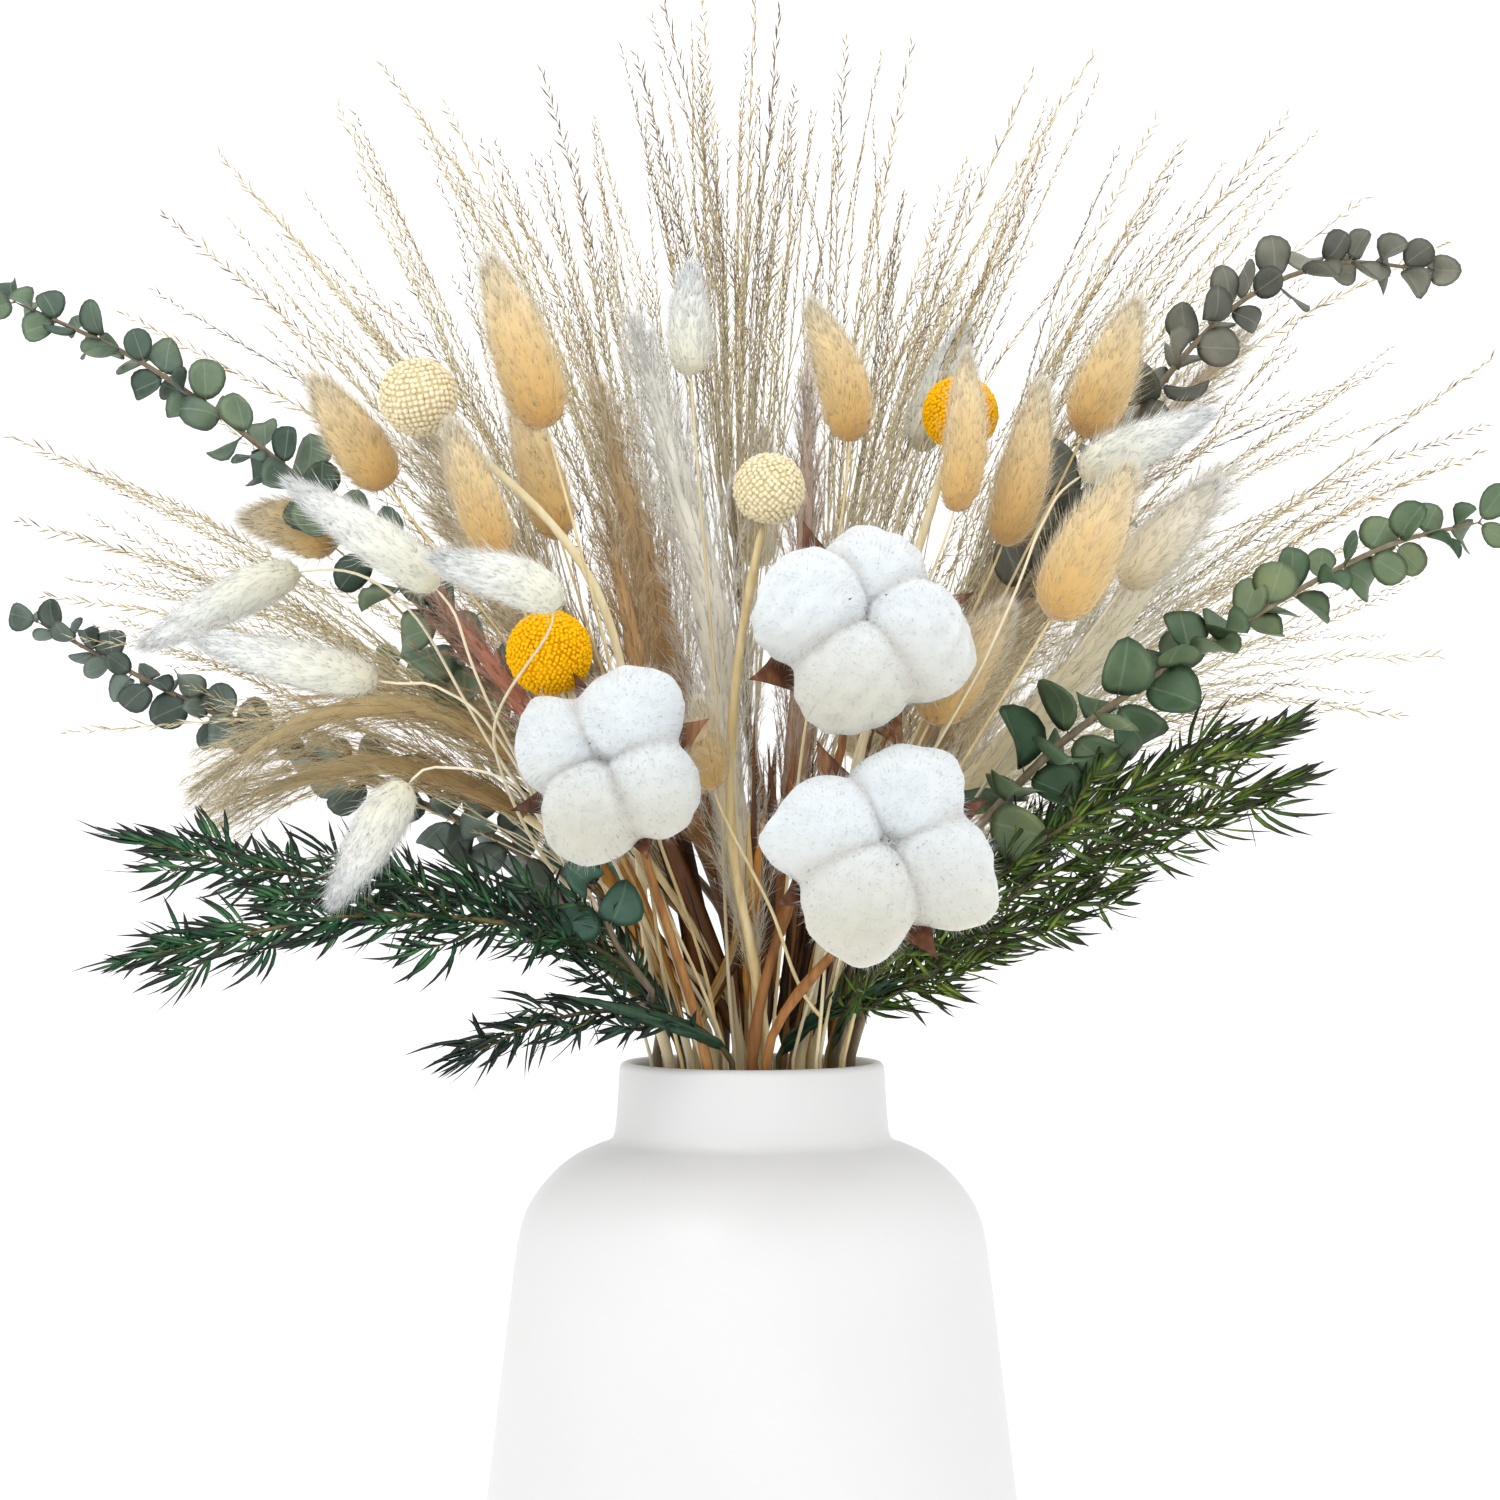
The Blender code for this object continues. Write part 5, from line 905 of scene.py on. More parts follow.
def grow_bur(mass, foot, shoot, size):
    """The brown bur: four pointed bracts between the locks, a stub, and the woody stem."""
    random = mass.random
    centre, axis, side, other = boll_frame(shoot, size)
    polar = np.radians(BRACT_ANGLES)
    for claw in range(LOCKS):
        turn = TURN * (claw + 0.5) / LOCKS + random.normal(0.0, BRACT_TURN)
        out = math.cos(turn) * side + math.sin(turn) * other
        aside = np.cross(axis, out)
        reach = size * BRACT_REACH * random.uniform(*BRACT_VARIED)
        path = centre + (np.sin(polar) * reach)[:, None] * out + (np.cos(polar) * reach)[:, None] * axis
        path[BRACT_BEND_FROM:] += aside * random.normal(0.0, BRACT_BEND)
        widths = size * BRACT_WIDTHS
        mass.strands(path[None], widths[None], "bract", hints=aside, sides=6, flat=BRACT_THICKNESS)
    stub = centre - axis * size * STUB_PLACES[:, None]
    mass.strands(stub[None], size * STUB_RADII[None], "bract", sides=12)
    add_stem(mass, "cotton", foot, shoot, "wood", high=shoot.curve.length)


# Leaves

LEAF_TAPER = 0.12             # how much wider a leaf is near its tip than near its root


def leaf_template(columns=16, rows=3):
    """A round leaf, 1 long and 1 wide: (along, across, ring share, side of the skin) and its triangles."""
    turn = TURN * np.arange(columns) / columns
    rim = np.stack((-0.5 * np.cos(turn), 0.5 * np.sin(turn) * (1.0 - LEAF_TAPER * np.cos(turn))), axis=-1)
    points, skins = [(0.5, 0.0, 0.0, 1.0)], []
    for share in np.arange(1, rows + 1) / rows:
        points += [(0.5 + share * u, share * v, share, 1.0 if share < 1.0 else 0.0) for u, v in rim]
    back = len(points)
    points.append((0.5, 0.0, 0.0, -1.0))
    for share in np.arange(1, rows) / rows:
        points += [(0.5 + share * u, share * v, share, -1.0) for u, v in rim]
    rings = [[1 + row * columns + i for i in range(columns)] for row in range(rows)]
    backs = [[back + 1 + row * columns + i for i in range(columns)] for row in range(rows - 1)] + [rings[-1]]
    for middle, loops, way in ((0, rings, -1), (back, backs, 1)):
        for i in range(columns):
            j = (i + 1) % columns
            skins.append((middle, loops[0][i], loops[0][j])[::way])
            for low, up in zip(loops, loops[1:]):
                skins += [(low[i], up[i], up[j])[::way], (low[i], up[j], low[j])[::way]]
    return np.array(points), np.array(skins)


# How one leaf differs from the next, for a leaf 1 long: how it cups, arches and waves, and its width
LEAF_CUP = (0.2, 1.7)
CUP_SIDES = (1.0, 1.0, -0.6)  # two in three cup to their upper side
CUP_DEPTH = 0.7
LEAF_ARCH = (-1.0, 0.6)
ARCH_PLACE = 0.35
LEAF_WAVE = (0.01, 0.07)
RIM_WAVES = 3.0
WAVE_PHASES = (0.0, 6.0)
LEAF_WIDTH = (0.74, 1.04)
RIB_DEPTH = 0.02
RIB_WIDTH = 0.05
LEAF_THICKNESS = 0.28         # half of a leaf's thickness at its middle, and how much of it the rim loses
RIM_THINNING = 0.5
LEAF_STAND = 0.12             # how far from its root a leaf's blade starts
STALK_PLACES = np.array((-0.04, 0.06, 0.3))
STALK_RADII = np.array((0.5, 0.42, 0.3))


def add_leaves(mass, roots, ways, flats, lengths, finish):
    """Cupped round leaves from their roots, lying along ways and flats."""
    random = mass.random
    count = len(roots)
    template, faces = leaf_template()
    u, v, ring, skin = template.T
    normals = np.cross(ways, flats)
    cup = random.uniform(*LEAF_CUP, (count, 1)) * random.choice(CUP_SIDES, (count, 1))
    arch = random.uniform(*LEAF_ARCH, (count, 1))
    turn = np.arctan2(v, u - 0.5)
    wave = random.uniform(*LEAF_WAVE, (count, 1))
    wave = wave * np.sin(RIM_WAVES * turn + random.uniform(*WAVE_PHASES, (count, 1)))
    height = cup * np.abs(v) ** 1.5 * CUP_DEPTH + arch * (u - ARCH_PLACE) ** 2 + wave * ring ** 2
    height = height - RIB_DEPTH * np.exp(-(v / RIB_WIDTH) ** 2) * skin ** 2
    half = LEAF_THICKNESS * skin * (1.0 - RIM_THINNING * ring ** 2)
    size = lengths[:, None, None]
    width = random.uniform(*LEAF_WIDTH, (count, 1, 1))
    points = (roots[:, None] + ways[:, None] * (u[:, None] + LEAF_STAND) * size
              + flats[:, None] * v[:, None] * size * width
              + normals[:, None] * (height[..., None] * size + half[:, None]))
    shades = np.empty(points.shape)
    shades[..., 0] = u
    shades[..., 1] = random.random((count, 1))
    shades[..., 2] = v + 0.5
    mass.add(points, faces + len(u) * np.arange(count)[:, None, None], shades, finish)
    stalks = roots[:, None] + ways[:, None] * size * STALK_PLACES[:, None]
    mass.strands(stalks, STALK_RADII, finish + "_stem")


LEAF_LEVEL = 275.0            # below this a eucalyptus leaf points up, clear of the vase's rim,
MOUTH_ROOM = 44.0             # and none grows this near to the crowded stems' middle
FACED_BACK = 40.0             # a stem that ends behind this shows its leaves to the back
FACED_ASIDE = 0.25
FACED_UP = 0.45
# The pairs of leaves, for a stem of size 1: where they begin and end, how far apart, and each pair's turn
PAIRS_BEFORE = 1.2
PAIRS_END = 0.2
PAIR_SPACING = 0.95
PAIR_TURN = 1.75
PAIR_TURN_VARIED = 0.3
# The leaves' lean to the tip, their disorder and twist, their length, and how much shorter they get
LEAF_LEANS = (0.35, 0.9)
LEAF_LEAN_VARIED = 0.15
LEAF_DISORDER = 0.12
LEAF_TWIST = 0.5
LEAF_LENGTH = 2.25
LEAF_SHORTENING = 0.95
LEAF_VARIED = (0.78, 1.08)


def grow_eucalyptus(mass, shoot, size, finish):
    """Opposite pairs of round leaves, mostly turned to the viewer's side, smaller to the tip."""
    random = mass.random
    low, high = shoot.head_start - PAIRS_BEFORE * size, shoot.curve.length - PAIRS_END * size
    spine = Spine(shoot.curve, low, high)
    pairs = max(4, round((high - low) / (PAIR_SPACING * size)))
    leaves = 2 * pairs
    shares = np.repeat(np.linspace(0.0, 1.0, pairs), 2)
    turns = np.arange(leaves) * math.pi + np.repeat(np.arange(pairs), 2) * PAIR_TURN
    turns = turns + random.normal(0.0, PAIR_TURN_VARIED, leaves)
    centre, heading, out = spine.around(shares, turns)
    lean = np.interp(shares, (0.0, 1.0), LEAF_LEANS)[:, None]
    lean = lean + random.normal(0.0, LEAF_LEAN_VARIED, (leaves, 1))
    ways = fan_out(out + heading * lean, LEAF_DISORDER, random)
    across_end, depth_end = centre[-1][:2]
    towards = -1.0 if depth_end < FACED_BACK else 1.0
    faced = unit(np.array((FACED_ASIDE * np.sign(across_end), towards, FACED_UP)))
    ways[:, 2] = np.where(centre[:, 2] < LEAF_LEVEL, np.abs(ways[:, 2]), ways[:, 2])
    flats = units(np.cross(across(ways, faced[None]), ways))
    twist = random.normal(0.0, LEAF_TWIST, (leaves, 1))
    flats = flats * np.cos(twist) + np.cross(ways, flats) * np.sin(twist)
    lengths = size * (LEAF_LENGTH - LEAF_SHORTENING * shares) * random.uniform(*LEAF_VARIED, leaves)
    clear = (np.abs(centre[:, 0]) > MOUTH_ROOM) | (centre[:, 2] > LEAF_LEVEL)
    add_leaves(mass, centre[clear], ways[clear], flats[clear], lengths[clear], finish)


# Needles: where they stand on their stem, the angle they leave it at, their length, and how they bend
NEEDLE_CROWDING = 0.75        # under 1, needles stand closer towards the tip
NEEDLE_TURN = 0.75
NEEDLE_ANGLE = (0.7, 1.2)
NEEDLE_ANGLES = ((0.0, 0.8, 1.0), (1.0, 0.85, 0.3))
NEEDLE_VARIED = (0.6, 1.1)
NEEDLE_LENGTHS = ((0.0, 0.3, 0.85, 1.0), (0.75, 1.0, 0.95, 0.7))
NEEDLE_ARCH = (-0.15, 0.75)
NEEDLE_ARCH_IN = 0.5
NEEDLE_CURL = 0.07
NEEDLE_WIDTHS = np.array((0.35, 0.9, 1.0, 0.65, 0.0))
NEEDLE_WIDTH_VARIED = (0.75, 1.15)
NEEDLE_FLATNESS = 0.25
NEEDLE_FACES = np.array(((1.0,), (0.3,)))      # how much a needle of each side shows its flat face
NEEDLE_FACE_VARIED = 0.5


def add_needles(mass, spine, count, low, length, finish, width):
    """Narrow pointed leaves that leave a stem left and right and arch forward."""
    random = mass.random
    numbers = np.arange(count)
    shares = low + (1.0 - low) * ((numbers + random.random(count)) / count) ** NEEDLE_CROWDING
    centre, heading, out = spine.around(shares, numbers * math.pi + random.normal(0.0, NEEDLE_TURN, count))
    angle = random.uniform(*NEEDLE_ANGLE, (count, 1)) * np.interp(shares, *NEEDLE_ANGLES)[:, None]
    ways = out * np.sin(angle) + heading * np.cos(angle)
    reach = length * random.uniform(*NEEDLE_VARIED, count) * np.interp(shares, *NEEDLE_LENGTHS)
    steps = np.linspace(0.0, 1.0, len(NEEDLE_WIDTHS))[None, :, None]
    arch = random.uniform(*NEEDLE_ARCH, (count, 1))
    sweep = (heading * arch - out * arch * NEEDLE_ARCH_IN)[:, None] * steps ** 2
    curl = random.normal(0.0, NEEDLE_CURL, (count, 1, 3)) * steps ** 2
    paths = centre[:, None] + reach[:, None, None] * (ways[:, None] * steps + sweep + curl)
    widths = width * random.uniform(*NEEDLE_WIDTH_VARIED, (count, 1)) * NEEDLE_WIDTHS
    flats = np.cross(heading, out) * NEEDLE_FACES[numbers % 2]
    flats = flats + random.normal(0.0, NEEDLE_FACE_VARIED, (count, 3))
    hints = np.cross(ways, flats)
    mass.strands(paths, widths, finish, along=shares, sides=4, flat=NEEDLE_FLATNESS, hints=hints)


# A frond, for one of size 1: how far before its head it begins, and at what least mark along its stem; then
# how many needles there are to a millimetre, their length and half width, on its stem and on its side sprays
FROND_BEFORE = 2.4
FROND_LOWEST = 12.0
FROND_NEEDLES = (0.9, 1.0, 1.0)
SPRAY_NEEDLES = (0.75, 0.85, 0.9)
SPRAY_SPACING = 13.0
SPRAY_SHARES = (0.05, 0.86)
SPRAY_TURN = 0.6              # how unevenly the sprays leave left and right, how far out, and how high
SPRAY_OUT = 0.8
SPRAY_RISE = (-0.1, 0.2)
SPRAY_REACH = (0.9, 1.6)
SPRAY_SHORTENING = 0.45
SPRAY_MIDDLE = 0.55
SPRAY_FORWARD = 0.4
SPRAY_BARE = 0.12             # the share of a spray before its first needle
TWIG_STEPS = 5
TWIG_RADII = (0.5, 0.2)


def grow_fern(mass, shoot, size, finish):
    """A needle-leaved frond: leaves on its stem, and side sprays with leaves of their own."""
    random = mass.random
    low, high = max(shoot.head_start - FROND_BEFORE * size, FROND_LOWEST), shoot.curve.length
    spine = Spine(shoot.curve, low, high)
    rate, length, width = FROND_NEEDLES
    add_needles(mass, spine, int((high - low) * rate), 0.0, length * size, finish, width)
    sprays = max(4, round((high - low) / SPRAY_SPACING))
    rate, length, width = SPRAY_NEEDLES
    for number, share in enumerate(np.linspace(*SPRAY_SHARES, sprays)):
        turn = number * math.pi + random.normal(0.0, SPRAY_TURN)
        (centre,), (heading,), (out,) = spine.around(np.array([share]), np.array([turn]))
        way = unit(out * SPRAY_OUT + heading + (0.0, 0.0, random.uniform(*SPRAY_RISE)))
        reach = size * random.uniform(*SPRAY_REACH) * (1.0 - SPRAY_SHORTENING * share)
        end = centre + unit(way + heading * SPRAY_FORWARD) * reach
        curve = Curve([centre, centre + way * reach * SPRAY_MIDDLE, end], way)
        twig = Spine(curve, 0.0, curve.length)
        path = twig.at(np.linspace(0.0, 1.0, TWIG_STEPS))[0]
        mass.strands(path[None], np.linspace(*TWIG_RADII, TWIG_STEPS)[None], "fern_stem", sides=5)
        add_needles(mass, twig, int(reach * rate), SPRAY_BARE, length * size, finish, width)


# Wispy grass

STRAND_MIDDLE = 0.55          # a strand's middle point: how far along it, and how far it rises for its span
STRAND_RISE = 0.05
STRAND_ASIDE = 0.9
WISP_STEPS = 10
WISP_SWAY = 0.4
WISP_RADII = ((0.0, 0.5, 1.0), (0.40, 0.25, 0.1))
# A wisp's spikelets: where they begin along it, how far apart they stand, their length and half width
SPIKELET_LOW = 0.30
SPIKELET_LOW_VARIED = (-0.1, 0.2)
SPIKELET_STEP = 2.6
SPIKELET_STEP_VARIED = (-0.3, 0.3)
SPIKELET_LENGTH = (5.0, 9.5)
SPIKELET_GROWTH = 0.2         # the share of a wisp in which they reach their full length
SPIKELET_WIDTH = 0.40
SPIKELET_WIDTH_VARIED = (0.7, 1.15)
SPIKELET_LEAN = (0.22, 0.7)
SPIKELET_TURN = 0.7
SPIKELET_LUCK = 0.2
WISP_TURN = 0.5
# A spikelet's steps and half widths along it, in full and for the many plainer ones
FULL_SPIKELET = (np.array((0.0, 0.42, 1.0)), np.array((0.3, 1.0, 0.0)))
PLAIN_SPIKELET = (np.array((0.0, 1.0)), 0.8)


def strand_curve(root, heading, side, tip, bend):
    """A strand's line: out of the culm's side, up, and over towards its tip."""
    span = np.linalg.norm(tip - root)
    middle = root + (tip - root) * STRAND_MIDDLE + (0.0, 0.0, STRAND_RISE * span) + bend
    return Curve([root, middle, tip], unit(side * STRAND_ASIDE + heading))


def grow_wisp(mass, curve, luck, plain):
    """One wisp: a thin strand with narrow spikelets that leave it left and right and lean forward."""
    random = mass.random
    spine = Spine(curve, 0.0, curve.length)
    shares = np.linspace(0.0, 1.0, WISP_STEPS)
    path = spine.at(shares)[0]
    path[1:-1] += random.normal(0.0, WISP_SWAY, (WISP_STEPS - 2, 3))
    low = SPIKELET_LOW + random.uniform(*SPIKELET_LOW_VARIED)
    mass.strands(path[None], np.interp(shares, *WISP_RADII)[None], "reed", luck=luck, along=shares[None])
    count = max(6, int(curve.length * (1.0 - low) / SPIKELET_STEP))
    shares = low + (1.0 - low) * (np.arange(count) + random.uniform(*SPIKELET_STEP_VARIED, count)) / count
    turns = random.normal(0.0, WISP_TURN) + random.normal(0.0, SPIKELET_TURN, count)
    turns = turns + math.pi * np.arange(count)
    centre, heading, out = spine.around(shares, turns)
    growth = np.interp(shares, (low, low + SPIKELET_GROWTH, 0.9, 1.0), (0.7, 1.0, 0.9, 0.5))
    length = random.uniform(*SPIKELET_LENGTH, count) * growth
    ways = units(heading + out * random.uniform(*SPIKELET_LEAN, (count, 1)))
    steps, form = PLAIN_SPIKELET if plain else FULL_SPIKELET
    paths = centre[:, None] + (ways * length[:, None])[:, None] * steps[:, None]
    widths = SPIKELET_WIDTH * random.uniform(*SPIKELET_WIDTH_VARIED, (count, 1)) * form
    luck = np.clip(luck + random.normal(0.0, SPIKELET_LUCK, count), 0.0, 1.0)
    mass.strands(paths, widths, "reed", luck=luck, along=shares)


# A wisp's colour, from 0 for dark grey to 1 for cream: as most are, less above the middle, and more low down
WISP_LUCK = 0.62
WISP_LUCK_VARIED = 0.22
GREY_MIDDLE = (0.26, -20.0, 90.0)     # how much greyer, where the middle is, and how wide
PALE_LOW = (0.30, 470.0, 120.0)       # how much paler, below which height, and within how much of it


def wisp_luck(aim, random):
    """A wisp's colour: grey above the middle, straw at the sides, pale low down."""
    grey, middle, spread = GREY_MIDDLE
    pale, top, depth = PALE_LOW
    greyer = grey * math.exp(-((aim[0] - middle) / spread) ** 2)
    paler = pale * np.clip((top - aim[2]) / depth, 0.0, 1.0)
    return float(np.clip(WISP_LUCK - greyer + paler + random.normal(0.0, WISP_LUCK_VARIED), 0.0, 1.0))


# The wisps round each tip: how many, and how the plainer ones are shared out towards the next tip
WISPS_PER_TIP = 10
WISP_TOWARDS = (0.1, 0.9)
WISP_SCATTER = (13.0, 14.0, 7.0)
WISP_REACH = (0.5, 0.97)
WISP_BACK = 100.0             # how far down the culm they leave it, and the most of it that this may be
WISP_BACK_SHARE = 0.6
WISP_SIDE = (1.0, 1.0, 0.2)
WISP_BEND = 3.0
# The dry leaves on each kind's stem: how many, their finish, and how tall
BLADES = {"reed": ((11, "blade", 115.0), (5, "blade", 55.0)), "plume": ((4, "blade", 115.0),),
          "fern": ((7, "fern_blade", 62.0),)}


def grow_reed(mass, foot, shoot, tips, neighbour):
    """A culm of wispy grass, parting into many wisps; some lean to the next culm's."""
    random = mass.random
    curve = shoot.curve
    add_stem(mass, "reed", foot, shoot, "culm", high=curve.length)
    heading = curve.heading(curve.length)
    crown = curve.at(curve.length)
    tips = [seen(tip) for tip in tips]
    for tip, near in zip(tips, tips[1:] + [seen(neighbour)]):
        for copy in range(WISPS_PER_TIP + 1):
            plain = copy > 0
            aim = tip.copy()
            if plain:
                aim = tip + (near - tip) * random.uniform(*WISP_TOWARDS) + random.normal(0.0, WISP_SCATTER)
                aim = crown + (aim - crown) * random.uniform(*WISP_REACH)
            back = random.uniform(0.0, min(WISP_BACK, WISP_BACK_SHARE * curve.length)) * plain
            root = curve.at(curve.length - back)
            side = unit((aim - root) * WISP_SIDE)
            bend = random.normal(0.0, WISP_BEND * (1 + plain), 3)
            grow_wisp(mass, strand_curve(root, heading, side, aim, bend), wisp_luck(aim, random), plain)


# A dry leaf: where along its stem it starts, its length, how far out it bends, and its half width along it
BLADE_STEPS = 12
BLADE_LOW = (0.0, 24.0)
BLADE_HEADING = 10.0
BLADE_DISORDER = 9.0
BLADE_LENGTH = (0.56, 1.0)
BLADE_MIDDLE = (0.55, 0.03)
BLADE_OUT = (0.0, 0.28)
BLADE_FORM = ((0.0, 0.15, 0.6, 1.0), (0.2, 1.0, 0.75, 0.0))
BLADE_WIDTHS_FRONT = (1.6, 4.0)
BLADE_WIDTHS_BACK = (1.6, 5.5)
BLADE_BACK = 5.0              # a leaf rooted behind this is one of the back's
BLADE_FACE_VARIED = 0.5
BLADE_FLATNESS = 0.14
# The darkening towards the back is painted shade; the random part is each leaf's own tone
BLADE_TONE_AND_PAINTED_SHADE = (0.5, 0.012, 10.0, 0.26)    # middling, darker for each millimetre back, from where, and varied
LEVEL = np.array((1.0, 1.0, 0.0))


def add_blades(mass, curve, blades, finish, tallest):
    """Long dry grass leaves that hug a stem in the vase's mouth; golden in front and darker behind, the
    darkening being painted shade.
    """
    random = mass.random
    steps = np.linspace(0.0, 1.0, BLADE_STEPS)
    middling, darker, front, varied = BLADE_TONE_AND_PAINTED_SHADE
    along, aside = BLADE_MIDDLE
    for _ in range(blades):
        low = random.uniform(*BLADE_LOW)
        root = curve.at(low)
        heading = curve.heading(low + BLADE_HEADING)
        out = unit(root * LEVEL + random.normal(0.0, BLADE_DISORDER, 3) * LEVEL)
        reach = random.uniform(*BLADE_LENGTH) * tallest
        middle = root + heading * reach * along + out * reach * aside
        tip = root + heading * reach + out * reach * random.uniform(*BLADE_OUT)
        leaf = Curve([root, middle, tip], heading)
        path = leaf.at(steps * leaf.length)
        width = random.uniform(*(BLADE_WIDTHS_FRONT if root[1] < BLADE_BACK else BLADE_WIDTHS_BACK))
        faced = math.pi * np.sign(random.random() - 0.5) * 0.5 + random.normal(0.0, BLADE_FACE_VARIED)
        hint = np.cross(heading, out) * math.sin(faced) + out * math.cos(faced)
        # Painted shade darkens the leaves further back; the random part is each leaf's own tone
        shade = np.clip(middling - darker * (root[1] + front) + random.normal(0.0, varied), 0.0, 1.0)
        widths = width * np.interp(steps, *BLADE_FORM)
        mass.strands(path[None], widths[None], finish, hints=hint, luck=shade, sides=6, flat=BLADE_FLATNESS)


# Finishes

def tint(code):
    """A linear colour from its six hexadecimal digits."""
    parts = [int(code[i:i + 2], 16) / 255.0 for i in (0, 2, 4)]
    return (*(part / 12.92 if part <= 0.04045 else ((part + 0.055) / 1.055) ** 2.4 for part in parts), 1.0)


class Finish:
    """A material's nodes, with short ways to read the points' shades and mix colours by them."""

    def __init__(self, name, **sockets):
        self.material = bpy.data.materials.new(name)
        self.material.use_nodes = True
        self.tree = self.material.node_tree
        self.shader = self.tree.nodes["Principled BSDF"]
        for socket, value in sockets.items():
            self.shader.inputs[socket.replace("_", " ")].default_value = value
        shade = self.node("Attribute", attribute_name="shade")
        self.share, self.luck, self.along = self.node("SeparateXYZ", {0: shade.outputs["Vector"]}).outputs
        self.place = self.node("TexCoord").outputs["Object"]

    def node(self, kind, inputs=(), **settings):
        made = self.tree.nodes.new("ShaderNode" + kind)
        for key, value in settings.items():
            setattr(made, key, value)
        for socket, value in dict(inputs).items():
            if isinstance(value, bpy.types.NodeSocket):
                self.tree.links.new(value, made.inputs[socket])
            else:
                made.inputs[socket].default_value = value
        return made

    def maths(self, kind, *values):
        return self.node("Math", enumerate(values), operation=kind).outputs[0]

    def mix(self, share, first, second, blend="MIX"):
        inputs = {0: share, 6: first, 7: second}
        return self.node("Mix", inputs, data_type="RGBA", blend_type=blend).outputs[2]

    def tinted(self, colour, mask, strength, code):
        """The colour with another one mixed in where the mask is high."""
        return self.mix(self.maths("MULTIPLY", mask, strength), colour, tint(code))

    def blend(self, texture, own):
        """A value that is partly the texture's and partly the strand's or leaf's own."""
        shared = self.maths("MULTIPLY", texture, 1.0 - own)
        return self.maths("ADD", shared, self.maths("MULTIPLY", self.luck, own))

    def noise(self, scale, detail=3.0, stretch=(1.0, 1.0, 1.0)):
        place = self.node("Mapping", {"Vector": self.place, "Scale": stretch}).outputs[0]
        return self.node("TexNoise", {"Vector": place, "Scale": scale, "Detail": detail}).outputs[0]

    def ramp(self, share, *stops):
        made = self.node("ValToRGB", {0: share})
        elements = made.color_ramp.elements
        for _ in stops[2:]:
            elements.new(0.5)
        for element, (place, code) in zip(elements, stops):
            element.position = place
            element.color = tint(code)
        return made.outputs[0]

    def falling(self, share, high, low):
        return self.ramp(share, (high, "ffffff"), (low, "000000"))

    def rising(self, share, low, high):
        return self.ramp(share, (low, "000000"), (high, "ffffff"))

    def done(self, colour, height=None, strength=0.3, distance=0.0004):
        self.tree.links.new(colour, self.shader.inputs["Base Color"])
        if height is not None:
            bump = self.node("Bump", {"Height": height, "Strength": strength, "Distance": distance})
            self.tree.links.new(bump.outputs[0], self.shader.inputs["Normal"])
        return self.material


# Hairs: the colours of their roots (also the painted shade at each hair's root), of the head's base, middle
# and tip, and of the odd ones; and their sheen
FIBRES = {
    "tail_tan": ("bc8e48", "cba562", "d9bd88", "ebdcba", "dcc492", 0.45),
    "tail_cream": ("d2be92", "e2d4b4", "e9e0cc", "efebe0", "e2d3b0", 0.4),
    "tail_white": ("cdc8ae", "dedccc", "e5e6de", "eceff0", "dddcd0", 0.3),
    "plume_white": ("e0d0a8", "e9dfc4", "ece8da", "eeeee8", "e2dcc8", 0.3),
    "plume_cream": ("e0cf9c", "eadcb4", "f0e8cc", "f2efde", "e6d8ac", 0.3),
    "plume_rust": ("8a4a38", "a8644e", "b57860", "c89a84", "985844", 0.0),
    "plume_rose": ("8f6a50", "a88a72", "b89e8a", "cfbcac", "a08468", 0.2),
    "plume_tan": ("8c6032", "b08650", "c19e6c", "d8c296", "a67a46", 0.2),
    "plume_brown": ("80501f", "a57238", "bd9158", "d2b284", "94602c", 0.2),
    "plume_mane": ("88693a", "b89966", "cab382", "dacaa0", "78603a", 0.0),
    "plume_beige": ("957346", "b59a72", "c5ae86", "d9c9a8", "ab8f66", 0.2)}
ODD_SHARE = 0.4
# How much painted shade darkens each hair towards its root
ROOT_SHADE_SHARE = 0.12


def fibre(name, deep, base, middle, tip, other, sheen):
    """Dried hairs: coloured along the head from its base to its tip, darker at their roots with painted
    shade, and varied.
    """
    finish = Finish(name, Roughness=0.75, Specular_IOR_Level=0.2, Sheen_Weight=sheen, Subsurface_Weight=0.7,
                    Subsurface_Radius=(1.0, 0.8, 0.6), Subsurface_Scale=0.0008)
    colour = finish.ramp(finish.along, (0.0, deep), (0.18, base), (0.55, middle), (1.0, tip))
    colour = finish.tinted(colour, finish.luck, ODD_SHARE, other)
    # Each hair is darkened towards its root: painted shade.
    return finish.done(finish.tinted(colour, finish.falling(finish.share, 0.0, 0.5), ROOT_SHADE_SHARE, deep))


# Balls: the colours of a floret's root, darkened as painted shade of the crevices, of its middle and of its
# top; and the two colours of the core
BALLS = {"craspedia_cream": ("cbb98a", "e2d5b0", "ede5cd"),
         "craspedia_yellow": ("e8a600", "f4b802", "fbc814")}
CORES = {"craspedia_cream_core": ("cbb787", "d8c69c"), "craspedia_yellow_core": ("dc9a06", "eaa80c")}


def ball_finish(name, deep, middle, top):
    finish = Finish(name, Roughness=0.85, Specular_IOR_Level=0.1)
    # Florets darken towards their roots: painted shade of the crevices between them
    colour = finish.ramp(finish.share, (0.0, deep), (0.4, middle), (1.0, top))
    return finish.done(finish.tinted(colour, finish.luck, 0.3, middle), finish.noise(scale=2500.0))


def core_finish(name, low, high):
    finish = Finish(name, Roughness=0.9, Specular_IOR_Level=0.2)
    colour = finish.ramp(finish.noise(scale=260.0), (0.35, low), (0.65, high))
    return finish.done(colour, finish.noise(scale=1200.0), strength=0.5)


